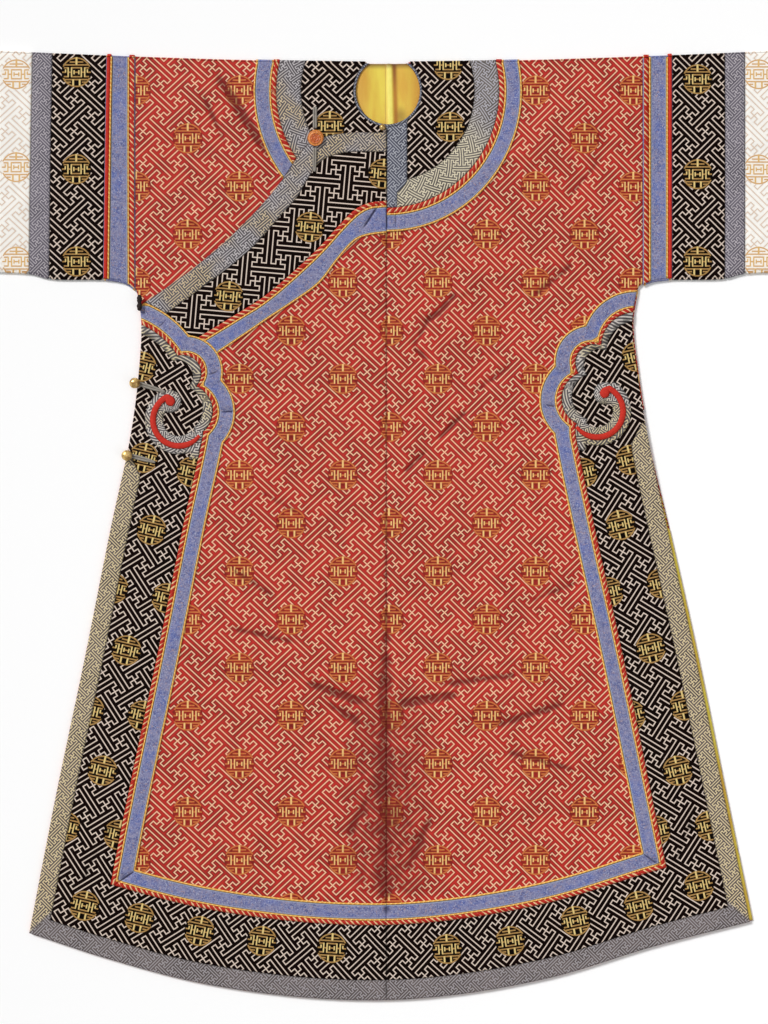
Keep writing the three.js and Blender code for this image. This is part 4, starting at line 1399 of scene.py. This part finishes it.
def add_body():
    shoulder = {
        "left": shoulder_line(SLEEVE_SEAMS["left"]["body"][0], NECK_ENDS[0], 70),
        "right": shoulder_line(NECK_ENDS[1], SLEEVE_SEAMS["right"]["body"][0], 70),
    }
    side = side_line("right")
    side = side[side[:, 1] > SLIT_TOP]
    for half, back, front, folds in (
        ("left", IN_BACK & LEFT, UNDER, [shoulder["left"]]),
        ("right", IN_BACK & ~LEFT, RIGHT_FRONT, [shoulder["right"], side]),
    ):
        cloth = joined_meshes([
            sheet_mesh(back, 0, FLAT, WALL, RED[half], 0),
            sheet_mesh(front, LEVEL_FRONT, LIE, WALL, RED[half]),
            *(fold_mesh(fold, 1, RED[half]) for fold in folds),
        ])
        obj = add_mesh(f"body_{half}_cloth", f"body_{half}", "red_silk", cloth)
        declare(plan_area(back) + plan_area(front), None)
    cloth = sheet_mesh(OVER, LEVEL_FRONT, LAPPED, WALL, RED["left"])
    obj = add_mesh("overlap_cloth", "overlap", "red_silk", cloth)
    declare(plan_area(OVER), None)


def add_lining():
    at_neck = (np.abs(BACK_OUTLINE[:, 0] - NECK[0]) < NECK_RADIUS) & (BACK_OUTLINE[:, 1] > NECK[1])
    outline = BACK_OUTLINE - np.sign(BACK_OUTLINE) * LINING_INSET * ~at_neck[:, None]
    mask = inside(CENTRES, outline)
    x, y = PLAN[:, 0], PLAN[:, 1]
    in_neck = smooth((60 - ring_radius(PLAN)) / 14)
    down = (SHOULDER_LOW - y) / 90
    fold = LINING_FOLDS
    ridge = fold["ridge"] * smooth(1 - np.abs(x - 4 - 2 * down) / (5 + 3 * down))
    trough = -fold["trough"] * smooth(1 - np.abs(x - 12 - 3 * down) / 6)
    beside = fold["beside"] * np.sin((x + 0.25 * y) / 9.5) * smooth(np.abs(x - 4) / 36)
    height = in_neck * (GAP + np.maximum(ridge + trough + beside, -GAP))
    lining = sheet_mesh(mask, LEVEL_LINING, height, LINING, {}, roll=0.4)
    obj = add_mesh("lining_back_cloth", "lining_back", "yellow_satin", lining)
    declare(plan_area(mask), None)


def add_sleeve(side):
    sign = SIGN[side]
    x, y = CENTRES[:, 0] * sign, CENTRES[:, 1]
    in_sleeve = inside(CENTRES, OUTLINE) & (y > SLEEVE[-1][1])

    def beyond(name, shift=0.0):
        return x > seam_x(side, name, y) * sign + shift

    band = {"fret": field_fret(side), "medal": medals(SLEEVE_MEDALS[side])}
    cuff = {"fret": field_fret(side), "medal": medals(CUFF_MEDALS[side])}
    for piece, finish, inner, outer, pattern in (
        ("sleeve_ribbon", "blue_ribbon", "body", "band", LEVEL_STRIP),
        ("sleeve_band", "black_silk", "band", "edging", band),
        ("sleeve_edging", "sleeve_grey", "edging", "cuff", {"fret": turned_fret(FRET_UNIT * 0.5, 45)}),
        ("cuff", "ivory_silk", "cuff", "end", cuff),
    ):
        mask = in_sleeve & beyond(inner) & ~beyond(outer)
        top = shoulder_line(*(seam_x(side, name, SLEEVE_FOLDS[0]) for name in (inner, outer)), 12)
        low_in, low_out = (abs(seam_x(side, name, SLEEVE_FOLDS[1])) for name in (inner, outer))
        low = resampled(SLEEVE_LINE, 3)
        low = low[(low[:, 0] >= low_in) & (low[:, 0] <= low_out)] * np.array([sign, 1])
        shows = None
        if finish == "blue_ribbon":
            shows = mask & beyond("body", SLEEVE_CORDS["body"][1]) & ~beyond("band", SLEEVE_CORDS["band"][0])
        ring = joined_meshes([
            sheet_mesh(mask, 0, FLAT, WALL, pattern, 0, shows),
            sheet_mesh(mask, LEVEL_FRONT, LIE, WALL, pattern, 0.4, shows),
            fold_mesh(top, sign, pattern),
            fold_mesh(low, sign, pattern),
        ])
        node = f"{piece}_{side}"
        obj = add_mesh(node + "_cloth", node, finish, ring)
        if shows is not None:
            edge_cords(node, shows, "front")
        declare(2 * plan_area(mask), None)
    for node, finish, name, width in (
        ("sleeve_twist", "twisted_cord", "body", 7),
        ("sleeve_piping", "scarlet_piping", "band", 5),
    ):
        near, far = SLEEVE_CORDS[name]
        mask = in_sleeve & beyond(name, near) & ~beyond(name, far)
        lip = [SLEEVE_SEAMS[side][name][0] + sign * reach for reach in (near, far)]
        trim_piece(f"{node}_{side}", finish, mask, LEVEL_STRIP, thickness=CORD, width=width, lip=lip)


def ring_strip(points):
    turn = np.arctan2((points[:, 1] - NECK[1]) / NECK_TALL, points[:, 0] - NECK[0])
    return rows_of(turn * COLLAR_TURN_RADIUS, ring_radius(points))


def ring_reach(radius):
    """How far from the neck's middle a collar ring meets the shoulder."""
    return math.sqrt(radius ** 2 - ((SHOULDER_LOW - NECK[1]) / NECK_TALL) ** 2)


def add_collar():
    binding = IN_FRONT & (RADIUS > NECK_RADIUS) & (RADIUS < COLLAR["binding"]) & (CENTRES[:, 1] > BINDING_LOW)
    trim_piece("neck_binding", "strip_edging", binding, {"fret": turned_fret(FINE_UNIT, 45)}, width=3.5)
    halves = {"left": ABOVE, "right": IN_FRONT & ~LEFT}
    strip = {"strip": ring_strip}
    for side, edging_finish, cut in (("left", "grey_edging", 0), ("right", "cream_edging", 180)):
        black = {"fret": field_fret(side), "medal": medals(COLLAR_MEDALS)}
        grey = {"fret": bent_fret(NECK, COLLAR_FRET_RADIUS, FINE_UNIT, cut)}
        for piece, finish, inner, outer, pattern, thickness, width, clear in (
            ("collar_band", "black_silk", "binding", "band", black, TRIM, 78, ~IN_STRIP),
            ("collar_edging", edging_finish, "band", "edging", grey, TRIM, 37, ~IN_STRIP),
            ("collar_twist", "twisted_cord", "edging", "twist", strip, CORD, 8, True),
            ("collar_ribbon", "blue_ribbon", "twist", "ribbon", strip, TRIM, 26, True),
        ):
            mask = halves[side] & (RADIUS > COLLAR[inner]) & (RADIUS < COLLAR[outer]) & clear
            lip = [NECK[0] + SIGN[side] * ring_reach(COLLAR[name]) for name in (inner, outer)]
            trim_piece(f"{piece}_{side}", finish, mask, pattern, thickness=thickness, width=width, lip=lip,
                       tucked=OVERLAP_EDGE if side == "left" else None)
    mask = halves["right"] & IN_STRIP & (RADIUS > COLLAR["binding"]) & (RADIUS < COLLAR["edging"])
    trim_piece("centre_strip", "strip_edging", mask, {"fret": turned_fret(FINE_UNIT, 45)}, width=27)


def add_overlap_trim():
    clear = OVER & ~border(CENTRES, "left", RIBBON)
    grey = {"fret": turned_fret(FINE_UNIT, 40)}
    black = {
        "fret": turned_fret(FRET_UNIT, BAND_TURN, pixel(383, 175)),
        "medal": medals(BAND_MEDALS, BAND_TURN),
    }
    strip = {"strip": strip_rows(rounded(OVERLAP_LINES["field"]))}
    pieces = (
        ("overlap_edging", "grey_edging", "edge", "band", grey, TRIM, 28),
        ("overlap_band", "black_silk", "band", "twist", black, TRIM, 60),
        ("overlap_twist", "twisted_cord", "twist", "ribbon", strip, CORD, 7),
        ("overlap_ribbon", "blue_ribbon", "ribbon", "field", strip, TRIM, 28),
    )
    shapes = border_shapes("left", RIBBON)
    border_edge = tree_of(np.concatenate([resampled(closed(shape), 1.5) for shape in shapes]))
    for node, finish, upper, lower, pattern, thickness, width in pieces:
        mask = clear & below(CENTRES, upper) & ~below(CENTRES, lower)
        trim_piece(node, finish, mask, pattern, "lapped", thickness=thickness, width=width,
                   tucked=border_edge if finish == "blue_ribbon" else None)


def add_border(side):
    lay = "lapped" if side == "left" else "front"
    front = OVER if side == "left" else RIGHT_FRONT
    outer, inner, band = (front & border(CENTRES, side, grow) for grow in (RIBBON, 0, -TWIST))
    edge = front & edging(CENTRES, side)
    strip = {"strip": strip_rows(chains(inner)[0])}
    black = {"fret": border_fret, "medal": medals(BORDER_MEDALS[side], border_turn(BORDER_MEDALS[side]))}
    grey = {"fret": turned_fret(FINE_UNIT, 45)}
    for piece, finish, mask, pattern, thickness, width in (
        ("border_ribbon", "blue_ribbon", outer & ~inner, strip, TRIM, 26),
        ("border_twist", "twisted_cord", inner & ~band, strip, CORD, 7),
        ("border_band", "black_silk", band & ~edge, black, TRIM, 88),
        ("border_edging", "border_edging", edge, grey, TRIM, 29),
    ):
        trim_piece(f"{piece}_{side}", finish, mask, pattern, lay, thickness=thickness, width=width)
    head = band & (CENTRES[:, 1] > HEADS[side]["foot"] - SCROLL_BELOW)
    lining = head & ~border(CENTRES, side, -TWIST - HEAD_EDGING)
    scroll = lining | (head & open_ring(CENTRES, side))
    cut = {"left": 39, "right": 141}[side]
    wound = {"fret": bent_fret(HEADS[side]["scroll"], SCROLL["inner"] + 13, FINE_UNIT, cut)}
    trim_piece(f"scroll_{side}", "scroll_edging", scroll, wound, lay, LEVEL_SCROLL, width=20)
    add_curl(side, lay)


def add_curl(side, lay):
    """Padded scarlet curl, narrow at its tail and round at its hooked end."""
    (x, y), tip = HEADS[side]["scroll"], np.array(HEADS[side]["tip"], float)
    sign = SIGN[side]
    turns = np.radians(np.linspace(CURL["start"], SCROLL_OPEN[0], 40))
    arc = np.column_stack([x + sign * CURL["middle"] * np.cos(turns), y + CURL["middle"] * np.sin(turns)])
    hook = tip + np.array([-sign * 0.5, -0.9]) * CURL["tip"]
    line = resampled(np.concatenate([arc, [tip + (0, 2), hook]]), CORD_STEP)
    before = (len(line) - 1 - np.arange(len(line))) * CORD_STEP
    after = np.arange(len(line)) * CORD_STEP
    at_tip = smooth((2.6 * CURL["tip"] - before) / (1.6 * CURL["tip"]))
    half = CURL["half"] + (CURL["tip"] - CURL["half"]) * at_tip
    half *= np.sqrt(np.clip(1 - np.clip(1 - before / CURL["tip"], 0, 1) ** 2, 0.03, 1))
    half *= 0.6 + 0.4 * smooth(after / 30)
    curl = tube_mesh(line, LEVEL_CURL + CORD / 2, half, lay, tall=CORD / 2 + 0.2)
    add_mesh(f"curl_{side}_cloth", f"curl_{side}", "scarlet_piping", curl)


# ---------------------------------------------------------------- fastenings
LOOPS = {  # the end at its button, the sewn end, width, how far it narrows and what it lies on
    "loop_disc_upper": ((-107, 593), (-107, 625), 6.4, 0.1, "front"),
    "loop_disc_lower": ((-107, 563), (-108, 528), 6, 0.5, "lapped"),
    "loop_side_upper": ((-375, 213), (-331, 199), 7, 1, "lapped"),
    "loop_side_lower": ((-387, 105), (-346, 94), 7, 1, "lapped"),
}
LOOP_POINT = 0.55  # of its length, from where a loop narrows to a point
LOOP_NARROW = {"cord": 0.35, "apart": 0.6}  # how much of a cord and of the space between is lost
FORM = {"rows": 28, "sides": 56}


def add_loop(node, start, end, width, taper, lay):
    """Two silk cords side by side that meet in a sewn point."""
    start, end = np.array(start, float), np.array(end, float)
    line = resampled(np.array([start, end]), CORD_STEP)
    t = np.linspace(0, 1, len(line))
    narrow = taper * smooth((t - LOOP_POINT) / (1 - LOOP_POINT))
    axis = (end - start) / np.linalg.norm(end - start)
    across = np.array([-axis[1], axis[0]])
    radius = width / 4 * (1 - LOOP_NARROW["cord"] * narrow)
    strands = []
    for hand in (-1, 1):
        apart = hand * width / 4 * (1 - LOOP_NARROW["apart"] * narrow)
        strand = line + across * apart[:, None]
        strands.append(tube_mesh(strand, LEVEL_SCROLL + width / 4, radius, lay))
    add_mesh(node + "_cord", node, "loop_cord", joined_meshes(strands))


def petals(turns, count):
    return 0.5 + 0.5 * np.cos(count * turns)


def ball_shape(lift, turns):
    """Fluted ball with a plain band round its middle."""
    flutes = 0.09 * petals(turns, 8) * min(1, abs(lift) / 0.3)
    return math.cos(lift) * (1 - flutes), math.sin(lift)


def disc_shape(lift, turns):
    """Low disc with a raised rim, a carved ring of petals and a boss."""
    reach = math.cos(lift) ** 0.6
    if lift < 0:
        return reach, -abs(math.sin(lift)) ** 0.5
    carved = math.sin(min(1, (1 - reach) / 0.85) * math.pi) ** 2
    height = math.sin(lift) ** 0.45 * (0.84 + 0.16 * math.cos(3.4 * math.pi * reach))
    return reach, height * (1 - 0.2 * carved * petals(turns, 8))


def knot_shape(lift, turns):
    """Wrapped cord, drawn in at its middle."""
    wraps = 0.82 + 0.18 * np.abs(np.cos(5.5 * lift + turns / 2))
    waist = 1 - 0.35 * math.exp(-((lift / 0.22) ** 2))
    return math.cos(lift) ** 0.6 * wraps * waist, math.sin(lift)


def add_form(node, finish, shape, axes=(0, 1, 2)):
    """Closed turned form that fills its node's box; shape gives reach and height by latitude and turn."""
    low, high = (np.array(corner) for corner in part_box(node))
    turns = np.linspace(0, 2 * math.pi, FORM["sides"], endpoint=False)
    rings = [[(0, 0, -1)]]
    for lift in np.radians(np.linspace(-90, 90, FORM["rows"])[1:-1]):
        reach, height = shape(lift, turns)
        rings.append(np.column_stack([reach * np.cos(turns), reach * np.sin(turns), height + 0 * turns]))
    rings.append([(0, 0, float(np.mean(rings[-1][:, 2])))])
    unit = np.concatenate([np.array(ring, float) for ring in rings])[:, axes]
    count, sides = len(unit), FORM["sides"]
    faces = []
    for k in range(sides):
        n = (k + 1) % sides
        faces.append([0, 1 + n, 1 + k])
        faces.append([count - 1, count - 1 - sides + k, count - 1 - sides + n])
        for row in range(FORM["rows"] - 3):
            a = 1 + row * sides
            faces.append([a + k, a + n, a + sides + n, a + sides + k])
    verts = (low + high) / 2 + unit * (high - low) / 2
    add_mesh(node + "_form", node, finish, (verts, faces, {}), scale=1)


add_body()
add_lining()
for side in SIGN:
    add_sleeve(side)
    add_border(side)
add_collar()
add_overlap_trim()
for name, loop in LOOPS.items():
    add_loop(name, *loop)
add_form("button_disc", "carved_button", disc_shape)
for name in ("button_ball", "button_side_upper", "button_side_lower"):
    add_form(name, "brass_button", ball_shape)
add_form("knot_armpit", "dark_cord", knot_shape, (1, 2, 0))

# ---------------------------------------------------------------- floor, light and camera
bpy.ops.mesh.primitive_plane_add(size=8, location=(0, 0, -0.0004))
floor = bpy.context.object
floor.name = "floor"
paper = Graph("floor_paper")
floor.data.materials.append(paper.finish((255, 255, 255), 0.9))


def add_light(name, kind, location, energy, **settings):
    data = bpy.data.lights.new(name, kind)
    data.energy = energy
    for key, value in settings.items():
        setattr(data, key, value)
    lamp = bpy.data.objects.new(name, data)
    lamp.location = location
    lamp.rotation_euler = (-Vector(location)).to_track_quat("-Z", "Y").to_euler()
    bpy.context.scene.collection.objects.link(lamp)


add_light("key", "SUN", (-1.7, 1.5, 1.9), 2.7, angle=math.radians(16))
add_light("fill", "AREA", (1.8, -1.2, 2.4), 8, shape="DISK", size=1.8)
add_light("top", "AREA", (0.2, 0.3, 3.2), 14, shape="DISK", size=2.4)
world = bpy.data.worlds.new("studio")
world.use_nodes = True
background = world.node_tree.nodes["Background"].inputs
background["Color"].default_value = (1, 1, 1, 1)
background["Strength"].default_value = 0.28
bpy.context.scene.world = world

CAMERA_HEIGHT = 3.0
SENSOR = 36
VIEW_WIDE = 768 * PIXEL * MM
VIEW_CENTRE = [place * MM for place in pixel(384, 512)]
camera_data = bpy.data.cameras.new("camera")
camera_data.sensor_fit = "HORIZONTAL"
camera_data.sensor_width = SENSOR
camera_data.lens = SENSOR * CAMERA_HEIGHT / VIEW_WIDE
camera = bpy.data.objects.new("camera", camera_data)
camera.location = (*VIEW_CENTRE, CAMERA_HEIGHT)
bpy.context.scene.collection.objects.link(camera)
bpy.context.scene.camera = camera
bpy.context.scene.view_settings.view_transform = "Standard"
